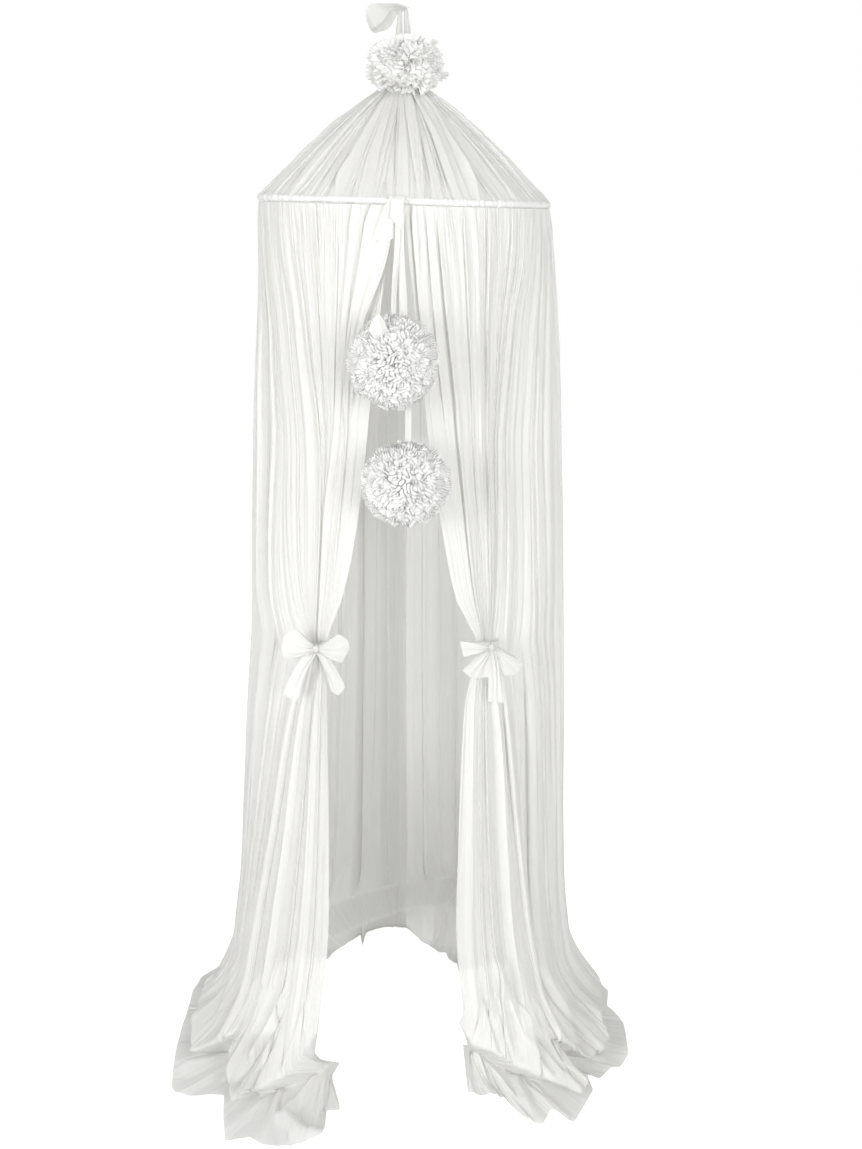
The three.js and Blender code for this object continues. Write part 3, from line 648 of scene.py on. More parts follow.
HEM_RIDGES = {  # share under the fold edge, share at the hem, half width, height
    "left": ((0.02, 0.055, 0.018, 0.012), (0.21, 0.23, 0.020, 0.010), (0.295, 0.32, 0.025, 0.010),
             (0.365, 0.36, 0.013, 0.014), (0.415, 0.395, 0.018, 0.012), (0.485, 0.46, 0.024, 0.014),
             (0.575, 0.55, 0.032, 0.012), (0.68, 0.655, 0.040, 0.014), (0.8, 0.79, 0.040, 0.010)),
    "right": ((0.015, 0.035, 0.015, 0.012), (0.065, 0.07, 0.015, 0.016), (0.115, 0.09, 0.015, 0.012),
              (0.14, 0.135, 0.015, 0.014), (0.17, 0.165, 0.018, 0.012), (0.21, 0.19, 0.015, 0.014),
              (0.275, 0.295, 0.018, 0.012), (0.32, 0.335, 0.015, 0.012), (0.39, 0.38, 0.023, 0.014),
              (0.5, 0.475, 0.032, 0.012), (0.615, 0.595, 0.046, 0.014), (0.74, 0.725, 0.046, 0.010)),
}
FLAT_FOLDS = {  # share and way out to the hem at both ends, half width, height
    "left": ((0.140, 0.55, 0.071, 1.00, 0.022, 0.020), (0.140, 0.55, 0.115, 0.05, 0.016, 0.016),
             (0.140, 0.55, 0.107, 1.00, 0.014, 0.008), (0.170, 0.05, 0.150, 0.85, 0.016, 0.010),
             (0.350, 0.00, 0.335, 0.60, 0.014, 0.012), (0.380, 0.00, 0.395, 0.80, 0.016, 0.010)),
    "right": ((0.125, 0.10, 0.150, 0.60, 0.016, 0.010), (0.185, 0.15, 0.160, 0.70, 0.016, 0.010),
              (0.320, 0.05, 0.350, 0.60, 0.016, 0.010)),
}
TUCK, LAYER, ON_FLOOR, FRONT_CORNER = 0.085, 0.036, 0.003, 0.09
for name in SIDE:
    print(name, "puddle:", len(EDGE[name]), "corners on the fold edge,", len(HEM[name]), "on the hem")

# %% Puddle shape
def rounded_line(at, places, corners, rounding, copies):
    """Straight stretches between corners, with each corner rounded by averaging shifted copies."""
    shifts = np.linspace(-rounding, rounding, copies)
    lines = [[np.interp(at + shift, places, values) for values in corners.T] for shift in shifts]
    return np.mean(lines, axis=0).T


def corner_line(name, rows, share):
    """The line along the fold edge or the hem; a row without a height lies on the floor."""
    places, angle, reach, height = np.array([row if len(row) == 4 else (*row, ON_FLOOR) for row in rows]).T
    angle = np.radians(angle)
    x, y = SIDE[name] * reach * np.sin(angle), -reach * np.cos(angle)
    return rounded_line(share, places, np.stack([x, y, height - LOOP_HEIGHT], -1), 0.003, 9)


def slanting_ridge(share, part, first, last, half_width):
    """A ridge with straight sides, 1 on its line, which goes from one share of the width to another."""
    return np.maximum(0, 1 - np.abs(share - first - (last - first) * part) / half_width)


def tucked_under(name, share, edge, hem):
    """Where the cloth turns outwards again, behind and just below the fold edge."""
    flat = 0.7 * edge[:, :2] + 0.3 * hem[:, :2]
    reach, limit = (np.linalg.norm(v, axis=1, keepdims=True) for v in (flat, edge[:, :2]))
    corner = 1 - smooth_step(share, 0, FRONT_CORNER)[:, None]
    flat *= np.clip((limit - TUCK * (1 - 0.4 * corner)) / reach, 0.3 / reach, 1)
    flat[:, :1] += SIDE[name] * 0.035 * corner
    height = np.maximum(edge[:, 2:] - LAYER * (1 + 1.4 * corner), 0.010 - LOOP_HEIGHT)
    return np.concatenate([flat, height], axis=1)


def puddle(name, share, before, start):
    """Rows from the hanging folds over the fold edge, back under it and out to the hem."""
    edge, hem = corner_line(name, EDGE[name], share), corner_line(name, HEM[name], share)
    tuck = tucked_under(name, share, edge, hem)
    pull = start + unit(start - before) * 0.45 * np.linalg.norm(edge - start, axis=1, keepdims=True)
    t = np.linspace(0, 1, 24)[1:, None, None]
    sweep = (1 - t) ** 2 * start + 2 * t * (1 - t) * pull + t ** 2 * edge
    t = np.linspace(0, 1, 10)[1:, None, None]
    back = (1 - t) * edge + t * tuck
    t = np.linspace(0, 1, 27)[1:, None, None]
    flat = (1 - t) * tuck + t * hem
    sag = 0.35 * smooth_step(share, 0, 0.06) * (tuck[:, 2] - hem[:, 2])
    out = t[..., 0]
    flat[..., 2] -= sag * np.sin(math.pi * out)
    for under, at_hem, half_width, rise in HEM_RIDGES[name]:
        ridge = slanting_ridge(share, out, under, at_hem, half_width)
        flat[..., 2] += rise * ridge * smooth_step(out, 0, 0.3) * (0.8 - 0.4 * out)
    for first, begin, last, end, half_width, rise in FLAT_FOLDS[name]:
        part = (out - begin) / (end - begin)
        ridge = slanting_ridge(share, part, first, last, half_width)
        flat[..., 2] += rise * ridge * between(part, -0.1, 0.1, 0.9, 1.2)
    rows = np.concatenate([start[None], sweep, back, flat])
    rows[1:-1] = (rows[:-2] + 2 * rows[1:-1] + rows[2:]) / 4
    return rows[1:]


lower = {name: puddle(name, shares[name], *upper[name][-2:]) for name in SIDE}
for name, rows in lower.items():
    sideways, forwards = np.abs(rows[..., 0]).max(), -rows[..., 1].min()
    print(name, "puddle reaches", sideways.round(3), "m out and", forwards.round(3), "m forwards")

# %% [markdown]
# ## The finished panels
# Crease lines sink into the whole panel along its own normals. The main ones are placed where
# the canopy shows them: the deep line between the front folds and the rest, the dark wedge in the right
# panel, the lines between the strands below the bows, and the slanting folds where the cloth turns and
# lies on the floor. Seeded rows add short gathers under the hoop and the lines round the back. There a
# value on each point tells the net how many layers to count: in bands that stand partly for fuller cloth,
# and that also paint shade on the left and near the floor and paint light on the right, by making the net
# denser or thinner.

# %% Panel creases
MAIN_CREASES = {  # share, from and to in metres below the hoop, depth, width of its trough, side in front
    "left": ((0.020, -0.05, 0.36, 0.022, 0.020, 1), (0.052, -0.05, 0.40, 0.024, 0.014, -1),
             (0.092, -0.05, 0.95, 0.016, 0.008, -1), (0.036, 0.02, 0.80, 0.004, 0.004, 1),
             (0.125, 0.05, 0.50, 0.006, 0.005, 1), (0.160, 0.12, 0.80, 0.006, 0.005, -1),
             (0.195, 0.03, 0.45, 0.007, 0.005, 1), (0.225, 0.10, 0.75, 0.006, 0.004, -1),
             (0.252, 0.06, 0.90, 0.010, 0.006, 1), (0.290, 0.05, 0.55, 0.007, 0.005, -1),
             (0.325, 0.15, 0.85, 0.007, 0.005, 1), (0.357, 0.08, 0.95, 0.012, 0.006, -1),
             (0.357, 0.90, 1.80, 0.019, 0.006, 1), (0.262, 0.88, 1.80, 0.020, 0.006, -1),
             (0.178, 0.90, 1.75, 0.013, 0.006, 1), (0.118, 0.88, 1.75, 0.014, 0.006, -1),
             (0.071, 0.90, 1.70, 0.011, 0.005, 1), (0.437, 0.90, 1.85, 0.014, 0.006, -1),
             (0.400, 0.10, 0.90, 0.007, 0.004, -1), (0.450, 0.04, 0.80, 0.007, 0.004, 1),
             (0.518, 0.80, 1.80, 0.014, 0.006, 1)),
    "right": ((0.014, -0.05, 0.26, 0.020, 0.014, 1), (0.034, 0.02, 0.42, 0.010, 0.006, 1),
              (0.054, 0.05, 0.92, 0.020, 0.007, 1), (0.085, 0.02, 0.70, 0.007, 0.004, -1),
              (0.112, 0.05, 0.90, 0.008, 0.005, 1), (0.140, 0.02, 0.60, 0.009, 0.005, -1),
              (0.172, 0.03, 0.80, 0.024, 0.008, 1), (0.205, 0.05, 0.90, 0.007, 0.004, -1),
              (0.240, 0.02, 0.60, 0.009, 0.005, 1), (0.281, 0.02, 0.92, 0.012, 0.006, -1),
              (0.320, 0.12, 1.20, 0.009, 0.005, -1), (0.360, 0.08, 1.30, 0.009, 0.005, 1),
              (0.410, 0.05, 1.30, 0.010, 0.005, -1), (0.460, 0.05, 1.00, 0.009, 0.005, 1),
              (0.510, 0.10, 1.20, 0.009, 0.005, -1), (0.132, 0.88, 1.75, 0.026, 0.006, 1),
              (0.193, 0.88, 1.75, 0.028, 0.006, -1), (0.281, 0.90, 1.80, 0.032, 0.007, 1),
              (0.038, 0.90, 1.70, 0.011, 0.005, -1), (0.083, 0.88, 1.70, 0.014, 0.005, 1),
              (0.236, 0.95, 1.75, 0.012, 0.005, -1), (0.341, 0.95, 1.80, 0.015, 0.006, 1),
              (0.406, 0.95, 1.85, 0.014, 0.006, -1)),
}
PUDDLE_CREASES = {  # share and fall where the line starts and ends, depth, side in front
    "left": ((0.215, 1.540, 0.265, 1.640, 0.006, -1), (0.050, 1.560, 0.130, 1.770, 0.006, -1),
             (0.187, 1.800, 0.157, 1.910, 0.009, 1),
             (0.160, 1.890, 0.080, 2.010, 0.009, -1), (0.460, 1.580, 0.410, 1.700, 0.009, -1)),
    "right": ((0.089, 1.560, 0.155, 1.770, 0.008, 1), (0.131, 1.520, 0.246, 1.760, 0.014, -1),
              (0.100, 1.800, 0.085, 1.960, 0.008, -1), (0.190, 1.820, 0.205, 1.980, 0.008, -1),
              (0.310, 1.580, 0.330, 1.690, 0.008, 1), (0.400, 1.580, 0.385, 1.690, 0.008, -1)),
}
TURN_FOLDS = {  # share and fall at both ends of a straight-sided fold, half width, height
    "left": ((0.150, 1.600, 0.230, 1.710, 0.020, 0.016), (0.165, 1.650, 0.240, 1.750, 0.012, -0.014),
             (0.165, 1.680, 0.215, 1.840, 0.012, -0.012)),
    "right": ((0.060, 1.600, 0.110, 1.740, 0.012, -0.012), (0.131, 1.560, 0.200, 1.740, 0.016, 0.014),
              (0.340, 1.600, 0.360, 1.730, 0.016, 0.010)),
}
PANEL_SEEDS = {"left": 41, "right": 57}


def panel_creases(name, seed):
    """The listed lines, then the side and back, the gathers under the hoop and the front."""
    rng = np.random.default_rng(seed)
    limit = GATHERED_SHARE[name]
    lines = []
    for place, start, end, depth, trough, side in MAIN_CREASES[name]:
        lines.append((place, 0.6 * depth, trough, rng.uniform(0.012, 0.022), start, end, 0, 0.08, side))
    lines += crease_row(rng, 56, limit, 1, depth=(0.003, 0.008), trough=(0.002, 0.004), fold=(0.007, 0.014),
                        start=(-0.2, 0.3), length=(0.5, 2.0), drift=0.008)
    lines += crease_row(rng, 110, 0, 1, depth=(0.004, 0.008), trough=(0.0015, 0.003), fold=(0.003, 0.006),
                        start=(-0.3, -0.1), length=(0.12, 0.40), drift=0.010)
    lines += crease_row(rng, 12, 0, limit, depth=(0.001, 0.003), trough=(0.002, 0.004), fold=(0.006, 0.012),
                        start=(0.0, 0.3), length=(0.3, 0.8), drift=0.004)
    return lines


def puddle_creases(name, seed):
    """Slanting lines where the cloth turns and lies on the floor, listed and then seeded."""
    rng = np.random.default_rng(seed)
    lines = []
    for first, start, last, end, depth, side in PUDDLE_CREASES[name]:
        drift = (last - first) / (end - start)
        lines.append((first, depth, 0.008, 0.024, start, end, drift, 0.03, side))
    lines += crease_row(rng, 26, 0, 1, depth=(0.002, 0.004), trough=(0.003, 0.005), fold=(0.007, 0.014),
                        start=(1.45, 1.8), length=(0.15, 0.40), drift=0.25)
    return lines


for name, seed in PANEL_SEEDS.items():
    by_hand, lines = len(MAIN_CREASES[name]), len(panel_creases(name, seed))
    print(lines, "crease lines in the", name, "panel,", by_hand, "of them placed by hand")

# %% Panels
PANEL_MAP_WIDTH = 2.3  # the map is wider than the cloth, so its net and creases are drawn finer
BOW_FALL, BOW_PULL = 0.87, 0.15


def whole_panel(name, seed):
    """The creased panel, and how far down the cloth each of its rows is."""
    grid = np.concatenate([upper[name], lower[name]])
    steps = np.linalg.norm(np.diff(lower[name], axis=0), axis=-1).mean(axis=1)
    hung = HOOP_HEIGHT - heights
    fall = np.concatenate([hung, hung[-1] + 0.01 + np.concatenate([[0], np.cumsum(steps)])])
    share, down = shares[name][None, :], fall[:, None]
    rise, slip = crease_shape(share, down, panel_creases(name, seed))
    limit = GATHERED_SHARE[name]
    tied = 0.72 * np.exp(-((down - BOW_FALL) / BOW_PULL) ** 2) * (1 - smooth_step(share, limit, limit + 0.12))
    shown = (0.4 + 0.6 * smooth_step(down, 0.0, 0.05)) * (1 - tied)
    shown = shown * (1 - 0.8 * smooth_step(down, 1.72, 1.85)) * (1 - 0.65 * smooth_step(share, 0.58, 0.75))
    folds, lips = crease_shape(share, down, puddle_creases(name, seed + 1))
    for first, start, last, end, half_width, height in TURN_FOLDS[name]:
        part = (down - start) / (end - start)
        ridge = slanting_ridge(share, part, first, last, half_width)
        folds = folds + height * ridge * between(part, -0.2, 0.1, 0.9, 1.2)
    return creased(grid, SIDE[name] * -(rise * shown + folds), slip * shown + 0.3 * lips), fall


# The bands stand partly for fuller cloth; the high counts on the left and the counts below zero on the right
# are painted shade and painted light.
BACK_LAYERS_AND_SHADE = {  # share of the width, and how many layers more, or less, than one the net counts there
    "left": ((0, 0.55, 0.70, 0.872, 0.880, 0.900, 0.905, 0.930, 0.935, 0.985, 0.990, 1),
             (0, 0, 1.4, 1.3, 2.2, 2.0, 0.9, 1.0, 1.4, 1.0, 1.5, 0.0)),
    "right": ((0, 0.60, 0.75, 0.885, 0.892, 0.928, 0.934, 1), (0, 0, 0.2, -0.2, 0.0, -0.1, -0.45, -0.45)),
}


def layers_and_painted_shade(name, share, down):
    """How many layers more, or less, than one the net counts: bands at the back that are partly fuller cloth,
    partly painted shade on the left and painted light on the right, and painted shade near the floor there.
    """
    # Painted shade: a denser net low down at the back, to darken it near the floor.
    low_painted_shade = between(down, 1.2, 1.7, 1.8, 1.9) * smooth_step(share, 0.6, 0.75)
    return np.interp(share, *BACK_LAYERS_AND_SHADE[name]) + 0.8 * low_painted_shade


finished = {name: whole_panel(name, seed) for name, seed in PANEL_SEEDS.items()}
seam = (finished["left"][0][:, -1] + finished["right"][0][:, -1]) / 2
for name, (grid, fall) in finished.items():
    grid[:, -1] = seam
    grid[..., 2] = np.maximum(grid[..., 2], 0.001 - LOOP_HEIGHT)
    piece = make_piece(f"{name}_panel", [(grid, PANEL_MAP_WIDTH * shares[name], fall)], TULLE)
    # A count of net layers for each point, which on the back also paints shade and light.
    layers_and_shade = piece.data.attributes.new(LAYERS_AND_SHADE, "FLOAT", "POINT")
    layers_and_shade.data.foreach_set("value", layers_and_painted_shade(name, shares[name][None, :], fall[:, None]).reshape(-1))
    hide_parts(f"panel_{name}")
    triangles = len(piece.data.polygons) * 2
    print(piece.name, triangles, "triangles, cloth", round(area_of(piece), 2), "square metres")

# %% [markdown]
# ## Bows
# Each panel is held by a ribbon of doubled tulle, tied in a bow. A loop is one strip that goes out and
# comes back, and a free end is a strip that widens. Both are pinched at the knot, so pleats start there
# and open out. They are worked out as grids in the bow's own plane and then turned to face outwards.

# %% Bow parts
BAND_WIDTH, PLEAT_HEIGHT = 0.012, 0.0058


def fan_grid(outer, root, root_width, puff, pleats, seed, widen=1.0, bend=(0, 0)):
    """A fan from its root to an outer edge given by a few corners, all in millimetres."""
    rng = np.random.default_rng(seed)
    corners, root, bend = (np.array(v, float) / 1000 for v in (outer, root, bend))
    along = np.concatenate([[0], np.cumsum(np.linalg.norm(np.diff(corners, axis=0), axis=1))])
    across = np.linspace(0, 1, 41)
    edge = rounded_line(across * along[-1], along, corners, 0.02 * along[-1], 5)
    middle = corners.mean(axis=0)
    ahead = unit(middle - root)
    sideways = np.array((-ahead[1], ahead[0]))
    sideways *= np.sign((corners[-1] - corners[0]) @ sideways)
    start = (across - 0.5)[:, None] * sideways * root_width / 1000
    out = np.linspace(0, 1, 28)[:, None, None]
    opened = out ** widen
    flat = root * (1 - out) + middle * out + start * (1 - opened) + (edge - middle) * opened
    flat = flat + bend * 4 * out * (1 - out)
    out, across = out[..., 0], across[None, :]
    phase = pleats * across + rng.random() + 0.12 * np.sin(5 * out + 6 * across)
    ridge = np.abs(2 * (phase % 1) - 1) - 0.5
    pleat = PLEAT_HEIGHT * ridge * (0.25 + 0.75 * (1 - out) ** 0.8) * np.minimum(1, 8 * out)
    crown = puff / 1000 * np.sin(math.pi * out ** 0.85) * (1 - 0.7 * (2 * across - 1) ** 2)
    points = np.stack([flat[..., 0], -(pleat + crown), flat[..., 1]], -1)
    return points, along[-1], np.linalg.norm(middle - root)


def folded_back(grid, thick):
    """The rear layer of a loop, which meets the front one at the outer edge."""
    points, width, length = grid
    behind = points.copy()
    out = np.linspace(0, 1, len(points))[:, None]
    straight = points[-1:, :, 1] * out - 0.3 * points[..., 1] * (1 - out)
    behind[..., 1] = straight + thick * np.sin(math.pi * out)
    return behind, width, length


def knot_grid(width, height, deep, seed):
    """A small wrapped ball with a few folds round it."""
    rng = np.random.default_rng(seed)
    up = np.linspace(0.02, math.pi - 0.02, 18)[:, None]
    round_it = np.linspace(0, 2 * math.pi, 40)[None, :]
    fold = 1 + 0.07 * np.cos(5 * up + 1.2 * np.sin(round_it) + rng.uniform(0, 6))
    x = width / 2 * fold * np.cos(up)
    y = deep / 2 * fold * np.sin(up) * np.cos(round_it)
    z = height / 2 * fold * np.sin(up) * np.sin(round_it)
    return np.stack(np.broadcast_arrays(x, y, z), -1), 0.05, 0.04


def band_grid(radius, width, start, end, depth):
    """The strip that goes round the gathered cloth, from the knot and back."""
    turn = np.radians(np.linspace(start, end, 60))[:, None]
    across = np.linspace(-0.5, 0.5, 9)[None, :]
    reach = radius + 0.0012 * np.cos(across * 14 + 2 * turn)
    x, y = reach * np.cos(turn), depth + reach * np.sin(turn)
    points = np.stack(np.broadcast_arrays(x, y, width * across), -1)
    return points, width, radius * math.radians(end - start)


print("a fan has", fan_grid(((40, 20), (60, 0), (40, -20)), (0, 0), 8, 6, 4, 1)[0].shape, "points")

# %% Tie-back bows
BOW_REACH, KNOT_REACH = 0.341, 0.031
BOWS = {  # angle of its place, way it faces, height, and its fans
    # each fan: corners of its edge in millimetres, puff, pleats, widening, bend, layer
    "left": (30.9, 2, 0.934, (
        (((-16, 12), (-39, 41), (-64, 27), (-69, 4), (-65, -22), (-30, -20), (-12, -12)),
         9, 6, 1, (0, 0), 2),
        (((19, 15), (45, 30), (61, 19), (67, 3), (49, -31), (16, -12)), 9, 6, 1, (0, 0), 2),
        (((-68, -95), (-55, -103), (-38, -105)), 6, 2, 0.6, (-6, 6), 1),
        (((29, -90), (42, -98), (56, -80)), 6, 2, 0.6, (2, 5), 1))),
    "right": (28.2, 13, 0.938, (
        (((-12, 11), (-65, 16), (-61, 0), (-57, -17), (-16, -11)), 8, 5, 1, (0, 2), 3),
        (((-34, -20), (-59, -45), (-41, -61), (-22, -63), (-2, -63)), 8, 5, 1, (-2, 1), 1),
        (((20, -6), (50, -25), (67, -41), (53, -61), (27, -63)), 8, 5, 1, (2, 1), 1),
        (((-6, -113), (10, -116), (28, -117)), 6, 3, 0.4, (2, 0), 2))),
}


def moved(grid, forward):
    """The same grid, further to the front."""
    points, width, length = grid
    return points + np.array((0, -forward, 0)), width, length


def placed(grid, turn, place):
    """The same grid, turned about the upright and put in its place."""
    points, width, length = grid
    return points @ np.array(Matrix.Rotation(turn, 3, "Z")).T + np.array(place), width, length


for name, (angle, facing, height, fans) in BOWS.items():
    side = SIDE[name]
    grids = []
    for n, (outer, puff, pleats, widen, bend, layer) in enumerate(fans):
        fan = fan_grid(outer, (0, 0), 9, puff, pleats, 70 + n, widen, bend)
        grids.append(moved(fan, KNOT_REACH + 0.002 * layer))
        if widen == 1:
            grids.append(moved(folded_back(fan, 0.004), KNOT_REACH + 0.002 * layer))
    grids.append(moved(knot_grid(0.013, 0.016, 0.014, 9), KNOT_REACH + 0.006))
    grids.append(band_grid(0.024, BAND_WIDTH, -220, 40, 0.0))
    turn = math.radians(angle)
    place = (side * BOW_REACH * math.sin(turn), -BOW_REACH * math.cos(turn), height - LOOP_HEIGHT)
    turned = side * math.radians(facing)
    bow = make_piece(f"{name}_bow", [placed(grid, turned, place) for grid in grids], RIBBON)
    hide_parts(f"bow_{name}")
    print(bow.name, len(bow.data.polygons), "faces, ribbon", round(area_of(bow) / 0.05, 2), "m long")

# %% [markdown]
# ## Pompoms
# A pompom is a bundle of ruffled tulle strips tied in the middle, so only their wavy edges show, packed
# like the petals of a carnation. Hair particles would be too thin for that. So the packed folds are one
# ball of six square grids with wandering gaps pressed into it. Loose ruffles stand out of the ball: small
# strips on edge that meander, spread evenly by a seeded spiral.

# %% Packed ruffles
def ball_grids(count):
    """Six square grids of directions that cover a ball evenly."""
    side = np.tan(np.linspace(-1, 1, count) * math.pi / 4)
    face = np.stack([*np.meshgrid(side, side), np.ones((count, count))], -1)
    face = unit(face)
    ways = (("X", 0), ("X", 90), ("X", 180), ("X", 270), ("Y", 90), ("Y", 270))
    return [face @ np.array(Matrix.Rotation(math.radians(angle), 3, axis)) for axis, angle in ways]


def wandering(points, pitch, seed):
    """A smooth field whose zero lines wander over the ball, about a pitch apart."""
    rng = np.random.default_rng(seed)
    waves = unit(rng.normal(size=(80, 3))) * math.pi / pitch
    return math.sqrt(2 / len(waves)) * np.cos(points @ waves.T + rng.uniform(0, 6.28, len(waves))).sum(-1)


def packed(half_size, pitch, pleats, seed, count):
    """The folds of the bundle side by side: wandering gaps in front, and spokes round the rim."""
    grids = []
    for toward in ball_grids(count):
        place = toward * half_size
        field, lump = wandering(place, pitch, seed), wandering(place, 4 * pitch, seed + 1)
        tall = wandering(place, 1.7 * pitch, seed + 2)
        off_axis = np.arccos(np.clip(-toward[..., 1], -1, 1))
        spokes = np.cos(pleats * np.arctan2(toward[..., 2], toward[..., 0]) + 1.5 * lump)
        rim = 0.85 * between(off_axis, 0.75, 1.25, 1.9, 2.4)
        gap = np.exp(-(((1 - rim) * field + rim * spokes) / 0.32) ** 2)
        reach = 0.94 + 0.02 * lump + 0.022 * tall - 0.19 * gap * (1 - 0.5 * rim)
        grids.append((place * reach[..., None], 0.15, 0.15))
    return grids


print("six grids of", ball_grids(3)[0].shape, "points make a ball")

# %% Loose ruffles
GOLDEN_ANGLE = math.pi * (3 - math.sqrt(5))


def ruffle(rng, toward, half_size, root, spread, waves, swing, rims):
    """A strip on edge: its outer edge meanders over the ball, its inner edge is drawn together."""
    along = np.linspace(0, 1, 49)
    bend = rng.uniform(*swing) * np.sin(2 * math.pi * (waves * along + rng.random()))
    bend = bend + rng.uniform(-1.0, 1.0) * (along - 0.5)
    path = np.cumsum([np.cos(bend), np.sin(bend)], axis=1)
    path = (path - path.mean(axis=1, keepdims=True)) * spread / np.ptp(path[0])
    side = unit(np.cross(toward, rng.normal(size=3)))
    face = np.cross(toward, side)
    out = np.linspace(0, 1, 5)[:, None]
    over, sway = path[0] * (0.55 + 0.45 * out), path[1] * (0.25 + 0.75 * out)
    points = unit(toward + over[..., None] * side + sway[..., None] * face)
    rim = rng.uniform(*rims) - 0.03 * np.abs(np.sin(math.pi * waves * along + rng.uniform(0, 6)))
    return points * (root + (rim - root) * out)[..., None] * half_size, 0.09, half_size[0] * (1 - root)


def spread_ruffles(seed, count, half_size, root, spread, waves, swing, rims):
    """Loose ruffles all over a ball; the last four are ranges of seeded values."""
    rng = np.random.default_rng(seed)
    half_size = np.array(half_size)
    grids = []
    for i in range(count):
        rise = 1 - 2 * (i + 0.5) / count
        flat = math.sqrt(1 - rise * rise)
        toward = np.array((flat * math.cos(i * GOLDEN_ANGLE), flat * math.sin(i * GOLDEN_ANGLE), rise))
        toward = unit(toward + rng.normal(scale=0.08, size=3))
        grids.append(ruffle(rng, toward, half_size, root, rng.uniform(*spread), rng.uniform(*waves), swing,
                            rims))
    return grids


POMPOMS = {  # centre above the floor, half sizes
    # the packed ball: its share of the size, pitch of the gaps, spokes, points along a grid
    # the loose ruffles: count, root, spread in radians, waves, swing, rims
    "upper": ((-0.021, -0.360, 1.501), (0.0885, 0.087, 0.0930), (1.0, 0.0056, 60, 110),
              (70, 0.82, (0.25, 0.45), (3.0, 4.5), (1.4, 2.0), (0.96, 1.02))),
    "lower": ((0.000, -0.358, 1.269), (0.0895, 0.084, 0.0845), (1.0, 0.0062, 56, 110),
              (60, 0.82, (0.25, 0.45), (2.5, 4.0), (1.3, 1.9), (0.96, 1.02))),
    "top": ((0.006, -0.046, 2.057), (0.086, 0.078, 0.066), (0.80, 0.0080, 30, 64),
            (64, 0.35, (0.7, 1.0), (4.0, 6.0), (1.0, 1.4), (0.84, 1.05))),
}
for name, ((x, y, height), half_size, (share, pitch, spokes, count), (loose, *shape)) in POMPOMS.items():
    centre = np.array((x, y, height - LOOP_HEIGHT))
    grids = packed(share * np.array(half_size), pitch, spokes, 90 + len(name), count)
    grids += spread_ruffles(190 + len(name) + loose, loose, half_size, *shape)
    grids = [(points + centre, *flat) for points, *flat in grids]
    pompom = make_piece(f"{name}_pompom", grids, RUFFLE)
    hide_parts(f"pompom_{name}")
    print(pompom.name, len(grids), "sheets,", len(pompom.data.polygons) * 2, "triangles")

# %% [markdown]
# ## Ribbons, front tie and hanging loop
# The pompoms hang on two narrow ribbons from a tie at the front of the hoop. A strip along a smooth
# line does for each, with a slight fold along its middle. The tie's ends are fans, as in the bows. The
# loop is a flat tube with folds along it, and its free end falls over to a fold of its own.

# %% Ribbons
ROUTES = {  # a place on the line, and the ribbon's width there
    "short": ((-0.012, -0.309, 1.783, 0.010), (-0.013, -0.310, 1.720, 0.010),
              (-0.020, -0.335, 1.610, 0.010), (-0.021, -0.360, 1.525, 0.011)),
    "long": ((-0.005, -0.309, 1.783, 0.009), (-0.005, -0.310, 1.720, 0.010),
             (-0.002, -0.322, 1.600, 0.015), (0.002, -0.327, 1.540, 0.015), (0.007, -0.327, 1.430, 0.012),
             (0.006, -0.340, 1.350, 0.012), (0.002, -0.358, 1.288, 0.012)),
}
RIBBON_LEAVES = {  # loose leaf-shaped ends: corners of the edge, root, root width, puff, pleats, seed
    "short": [(((-66, 64), (-59, 82), (-47, 96), (-36, 80), (-31, 62)), (-46, 52), 24, 5, 1, 33)],
    "long": [],
}
RIBBON_LEAF_PLACE = (0, -0.416, 1.5 - LOOP_HEIGHT)


def smooth_rows(steps, rows):
    """A smooth curve through the rows of a table, spaced evenly along it."""
    spots = np.linspace(0, 1, len(rows))
    return np.stack([through_table(steps, spots, column) for column in rows.T], -1)


def strip_grid(route, seed):
    rng = np.random.default_rng(seed)
    route = np.array(route) - np.array((0, 0, LOOP_HEIGHT, 0))
    steps = np.linspace(0, 1, 60)
    table = smooth_rows(steps, route)[:, None, :]
    line, width = table[..., :3], table[..., 3:]
    across = np.linspace(-1, 1, 9)[None, :, None]
    twist = (0.35 * np.sin(3 * steps * math.pi + rng.uniform(0, 6)))[:, None, None]
    sideways = np.concatenate([np.cos(twist), np.sin(twist), 0 * twist], axis=-1)
    cup = np.array((0, -1, 0)) * 0.0014 * np.cos(2.2 * across + 4 * twist)
    length = np.linalg.norm(np.diff(line[:, 0], axis=0), axis=1).sum()
    return line + across * width / 2 * sideways + cup, float(width.mean()), length


for name, route in ROUTES.items():
    grid = strip_grid(route, 3 + len(name))
    grids = [grid] + [placed(fan_grid(*shape), 0, RIBBON_LEAF_PLACE) for shape in RIBBON_LEAVES[name]]
    ribbon = make_piece(f"{name}_ribbon", grids, RIBBON)
    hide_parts(f"ribbon_{name}")
    print(ribbon.name, round(grid[2], 3), "m long")

# %% Front tie
TIE_ENDS = (  # how far forward; then the fan's corners, root, root width, puff, pleats, seed, widening, bend
    (0.013, ((-57, -66), (-47, -72), (-37, -76), (-20, -68)), (-22, 2), 14, 4, 1, 31, 0.8, (-2, 0)),
    (0.022, ((-27, -27), (-20, -38), (-6, -53), (0, -42), (3, -18)), (-12, 4), 22, 9, 1, 32),
)
TIE_WIDTH, TIE_REACH = 0.030, 0.0115
tie_grids = [moved(fan_grid(*shape), forward) for forward, *shape in TIE_ENDS]
turn = np.radians(np.linspace(-70, 150, 40))[:, None]
across = np.linspace(-0.5, 0.5, 13)[None, :]
reach = TIE_REACH + 0.0012 * np.cos(9 * across + turn)
x, y, z = TIE_WIDTH * across - 0.013, -reach * np.cos(turn), -reach * np.sin(turn)
tie_grids.append((np.stack(np.broadcast_arrays(x, y, z), -1), TIE_WIDTH, 0.041))
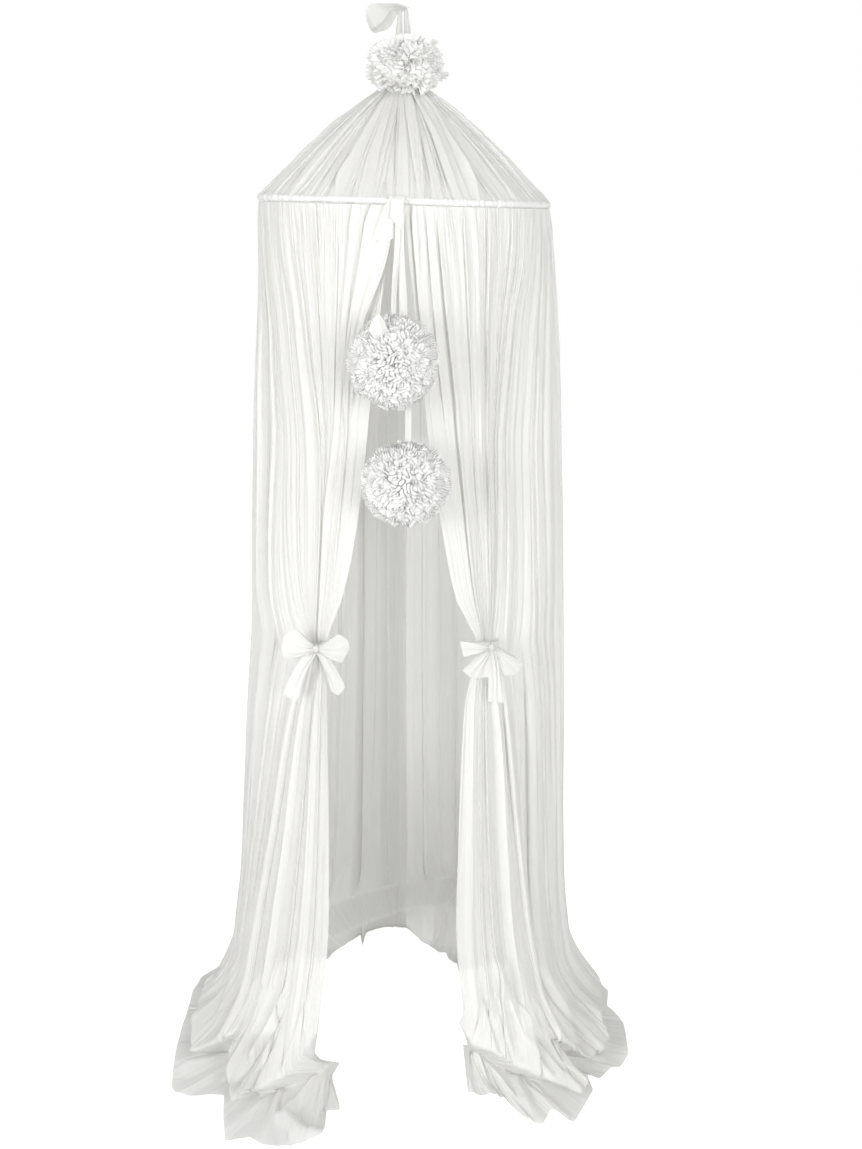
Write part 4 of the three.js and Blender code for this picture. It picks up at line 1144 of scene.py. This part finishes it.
place = (0, -HOOP_RADIUS, HOOP_HEIGHT - LOOP_HEIGHT)
tie = make_piece("front_tie_ends", [placed(grid, 0, place) for grid in tie_grids], RIBBON)
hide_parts("front_tie")
print(tie.name, len(tie.data.polygons), "faces")

# %% Hanging loop
LOOP_ROUTE = np.array((  # across, height, half width of the strand
    (-0.0085, 2.080, 0.0070), (-0.0083, 2.115, 0.0066), (-0.0070, 2.145, 0.0050), (-0.0062, 2.162, 0.0036),
    (-0.0046, 2.1695, 0.0031), (0, 2.173, 0.0030), (0.0046, 2.1695, 0.0031), (0.0062, 2.162, 0.0036),
    (0.0070, 2.145, 0.0050), (0.0083, 2.115, 0.0066), (0.0085, 2.080, 0.0070),
))


def loop_grid():
    """A gathered ribbon that goes up, over and down: a flat tube along the route, with folds along it."""
    steps = np.linspace(0, 1, 90)
    table = smooth_rows(steps, LOOP_ROUTE)
    line, half_width = table[:, :2], table[:, 2:]
    ahead = unit(np.gradient(line, axis=0))
    around = np.linspace(0, 2 * math.pi, 41)[None, :]
    fold = 1 + 0.14 * np.cos(7 * around + 2.0 * np.sin(7 * steps)[:, None])
    wide, thick = 0.0042 * fold * np.cos(around), half_width * fold * np.sin(around)
    x = line[:, :1] - ahead[:, 1:] * thick
    z = line[:, 1:] + ahead[:, :1] * thick - LOOP_HEIGHT
    return np.stack([x, wide, z], -1), 0.026, 0.19


LOOP_END = (  # across and up from the top of the loop in millimetres: top edge, fold, lower edge
    ((12, 2), (8, 0), (4, -4)), ((-14, 10), (-12, 0), (-10, -10)), ((-40, 10), (-24, -3), (-18, -22)),
    ((-64, 8), (-36, -20), (-30, -38)), ((-74, -4), (-52, -34), (-46, -44)),
    ((-74, -22), (-66, -40), (-58, -47)),
)


def loop_end():
    """The free end: it falls forwards to a fold and turns back in below it."""
    corners = np.array(LOOP_END, float) / 1000
    steps = np.linspace(0, 1, 40)
    top, fold, low = (smooth_rows(steps, corners[:, k]) for k in range(3))
    t = np.linspace(0, 1, 14)[:, None, None]
    flat = np.concatenate([top * (1 - t) + fold * t, (fold * (1 - t) + low * t)[1:]])
    part = t[:, 0]
    forward = np.concatenate([0.004 + 0.014 * part ** 1.5, 0.018 - 0.016 * part[1:] ** 0.7])
    swell = np.sin(math.pi * steps)[None, :] ** 0.5 * forward + 0.0012 * np.sin(22 * steps + 2)[None, :]
    return np.stack([flat[..., 0], -swell, flat[..., 1]], -1), 0.10, 0.06


loop = make_piece("loop_ribbon", [loop_grid(), loop_end()], LOOP_PAINTED_SHADE)
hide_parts("hanging_loop")
print(loop.name, len(loop.data.polygons), "faces")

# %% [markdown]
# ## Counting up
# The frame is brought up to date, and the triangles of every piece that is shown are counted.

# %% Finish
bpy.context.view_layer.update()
pieces = [piece for piece in scene.objects if piece.type == "MESH" and not piece.hide_render]
print("triangles shown:", sum(len(face.vertices) - 2 for piece in pieces for face in piece.data.polygons))
